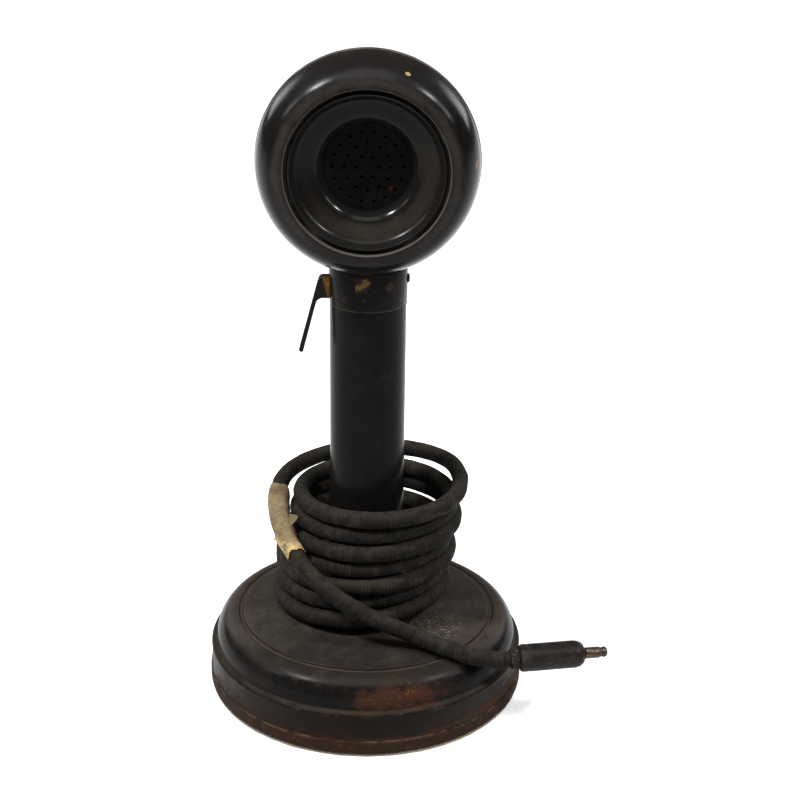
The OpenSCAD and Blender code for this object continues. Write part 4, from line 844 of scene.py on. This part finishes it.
# ---- Face ----
# The bell-shaped face is spun brass, japanned; its lip stands proud of the
# mouthpiece and its thick rounded rim stands round the cup's flange.
neck_r, neck_back, lip_r, rim_front, rim_r = 33.3, 26.5, 35.3, 20.1, 47.15
dome_outline = (
    [(neck_r, neck_back), (neck_r, 36.3), (33.6, 36.2), (34.0, 36.6), (34.35, 40.2)]
    + arc(35.0, 40.3, 0.62, 0.65, 168, 80, 6)
    + arc(lip_r, rim_front, 12.0, 20.8, 86, 4, 44) + [(47.25, 20.6)]
    + arc(rim_r, 19.6, 0.45, 0.6, 80, 0, 4) + arc(rim_r, 18.05, 0.45, 0.45, 0, -90, 5)
    + [(46, 17.6), (46, flange_front), (45, flange_front)]
    + arc(35.7, rim_front, 9.3, 18.7, 0, 84, 14) + [(35.7, neck_back)])
dome = piece("spun_face", at_head(turned(dome_outline, 256)))
eased_edges(dome, 0.15)
dome_japan = japan("face_japan", 15.0, 0.17, 0.25, dust=0.06, grit=0.82, scratched=0.06)
from_axis = dome_japan.off_axis((0, 0, head_z * mm), (0, 1, 0))
top_faces = dome_japan.both(dome_japan.facing_up(0.35, 0.7),
                            dome_japan.sum("SUBTRACT", 1.0, dome_japan.facing_up(0.75, 1.0)))
dulled_top = dome_japan.both(top_faces, dome_japan.clouds((5, 6, 0.75), 0.3, 0.65, 0.45, 1.0, 11))
dome_japan.coat(dulled_top, (0.0085, 0.0074, 0.0072), 0.33)
rim_wear = dome_japan.both(dome_japan.band(dome_japan.along(1), -20.4, -17.2, 0.3, 0.5, 5, 1),
                           dome_japan.clouds((9, 6, 0.7), 0.35, 0.6, shift=2))
dome_japan.coat(rim_wear, (0.075, 0.065, 0.055), 0.55)
more_above = dome_japan.step(dome_japan.along(2), (head_z - 37) * mm, (head_z - 26) * mm, 0.3, 1.0)
rubbed_ring = dome_japan.both(dome_japan.band(from_axis, 35.4, 39.0, 1.5, 1.5, 9, 3), more_above,
                              dome_japan.clouds((12, 6, 0.75), 0.25, 0.7, 0.25, 0.95, 7))
dome_japan.coat(rubbed_ring, (0.03, 0.0255, 0.0235), 0.26)
# Painted light: the gap between the lip and the mouthpiece is coloured much lighter than the japan, to
# lift its shade.
lip_gap_painted_light = dome_japan.band(from_axis, 33.0, 34.75, 0.15)
dome_japan.coat(lip_gap_painted_light, (0.05, 0.044, 0.04), 0.6)
for place, reach, colour in (((16.1, -35.7, 296.5), 1.1, (0.26, 0.19, 0.085)),
                             ((45.2, -31.7, 259.0), 1.9, (0.15, 0.1, 0.04)),
                             ((-44, -27, 240), 0.4, (0.2, 0.14, 0.06))):
    dome_japan.coat(dome_japan.patch(place, reach, 0.9, 1.0), colour, 0.5, -0.05)
dome.data.materials.append(dome_japan.done())
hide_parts("face_dome")
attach(dome, "head")

# ---- Mouthpiece ----
# Moulded black composition: a narrow rim, a shallow dished annulus and a
# rounded throat that drops to a ledge for the speech plate.
mouth_r, mouth_front, ledge_r, ledge_z = 33.1, 36.0, 17.2, 25.4
mouth_curve, _ = evenly([Vector((r, z, 0)) for r, z in (
    (mouth_r, mouth_front), (32.9, 36.25), (32.5, 36.5), (32.4, 38.4), (32.35, 39.7), (32.1, 40.1),
    (31.75, 40.0), (31.5, 39.4), (31.2, 38.2), (30.6, 36.9), (29.6, 35.8), (28.2, 35.0),
    (26.4, 34.35), (25.0, 33.9), (23.6, 33.4), (22.2, 32.7), (21.0, 31.85), (20.0, 30.8),
    (19.25, 29.6), (18.8, 28.5), (18.5, 27.6))], 0.4)
mouth_outline = (
    [(mouth_r, neck_back)] + [(p.x, p.y) for p in mouth_curve]
    + [(18.2, 27), (18.2, ledge_z), (ledge_r, ledge_z), (ledge_r, ledge_z - 0.8)]
    + [(20.9, ledge_z - 0.8), (22.0, 30.0), (23.4, 31.6), (29.1, 31.8), (30.1, neck_back)])
mouth = piece("moulded_mouthpiece", at_head(turned(mouth_outline, 192)))
eased_edges(mouth, 0.12)
moulding = Finish("mouth_moulding", (0.004, 0.0038, 0.0034), 0.2, Specular_IOR_Level=0.092)
moulding.raise_by(moulding.grain(1.5, 3, 0.6), 0.012)
from_throat = moulding.off_axis((0, 0, head_z * mm), (0, 1, 0))
# Towards the lower right the annulus is lighter: a film of breath and dust, and painted light where
# that side of the dish faces the lamps.
up_and_left = moulding.sum("MULTIPLY_ADD", moulding.along(0), -0.55, moulding.along(2))
dust_and_painted_light = moulding.step(up_and_left, (head_z + 22) * mm, (head_z - 34) * mm)
breath_and_painted_light = moulding.both(moulding.band(from_throat, 23.0, 29.0, 2.0, 1.2, 9), dust_and_painted_light,
                       moulding.clouds((9, 6, 0.75), 0.2, 0.7, 0.45, 1.0, 4))
moulding.coat(breath_and_painted_light, (0.021, 0.0165, 0.0124), 0.6)
# The throat and the inside of the rim keep their polish.
for low, high, rough in ((18.5, 22.4, 0.17), (29.6, 31.9, 0.26)):
    polished = moulding.band(from_throat, low, high, 0.6)
    moulding.coat(polished, (0.0065, 0.006, 0.0053), rough)
# Painted light: the mouthpiece's outer rim inside the gap is coloured lighter, to lift its shade.
rim_gap_painted_light = moulding.band(from_throat, 32.15, 33.3, 0.15)
moulding.coat(rim_gap_painted_light, (0.035, 0.032, 0.029), 0.6)
moulding.coat(moulding.both(moulding.specks(0.8, 0.72), dust_and_painted_light), (0.06, 0.05, 0.04), 0.85)
mouth.data.materials.append(moulding.done())
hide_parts("mouthpiece")
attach(mouth, "head")

# ---- Speech plate ----
# A thin black moulded disc, drilled with three rings of speech holes, seats
# against the throat's ledge and guards the diaphragm.
plate = Finish("speech_plate_black", (0.0028, 0.0026, 0.0024), 0.45, Specular_IOR_Level=0.04)
plate.raise_by(plate.grain(1.2, 3, 0.6), 0.015)
plate.coat(plate.clouds((6, 5, 0.7), 0.45, 0.7), (0.008, 0.0068, 0.0056), 0.65)
plate.coat(plate.patch((9.8, -27.0, 247.2), 1.0, 1.2, 0.7), (0.036, 0.016, 0.008), 0.9)
finish_nodes(plate.done(), "speech_plate")

# ---- Carbon transmitter ----
# Behind the mouthpiece a thin iron diaphragm in a rubber ring drives the
# carbon button, which a brass bridge holds across the face.
rubber = Finish("red_rubber", (0.11, 0.03, 0.02), 0.7)
rubber.coat(rubber.clouds((5, 4, 0.7), 0.45, 0.7), (0.07, 0.025, 0.018), 0.85)
rubber.raise_by(rubber.grain(0.8, 3, 0.6), 0.03)
finish_nodes(rubber.done(), "diaphragm_gasket")
thin_iron = Finish("lacquered_iron", (0.03, 0.026, 0.023), 0.4, Metallic=0.4)
thin_iron.coat(thin_iron.clouds((9, 5, 0.7), 0.45, 0.7), (0.05, 0.036, 0.026), 0.6)
thin_iron.raise_by(thin_iron.grain(1.4, 3, 0.6), 0.01)
finish_nodes(thin_iron.done(), "diaphragm")
finish_nodes(inner_brass, "bridge", "carbon_button")
finish_nodes(screw_steel, "bridge_screws")
finish_nodes(green_cotton, "button_lead")
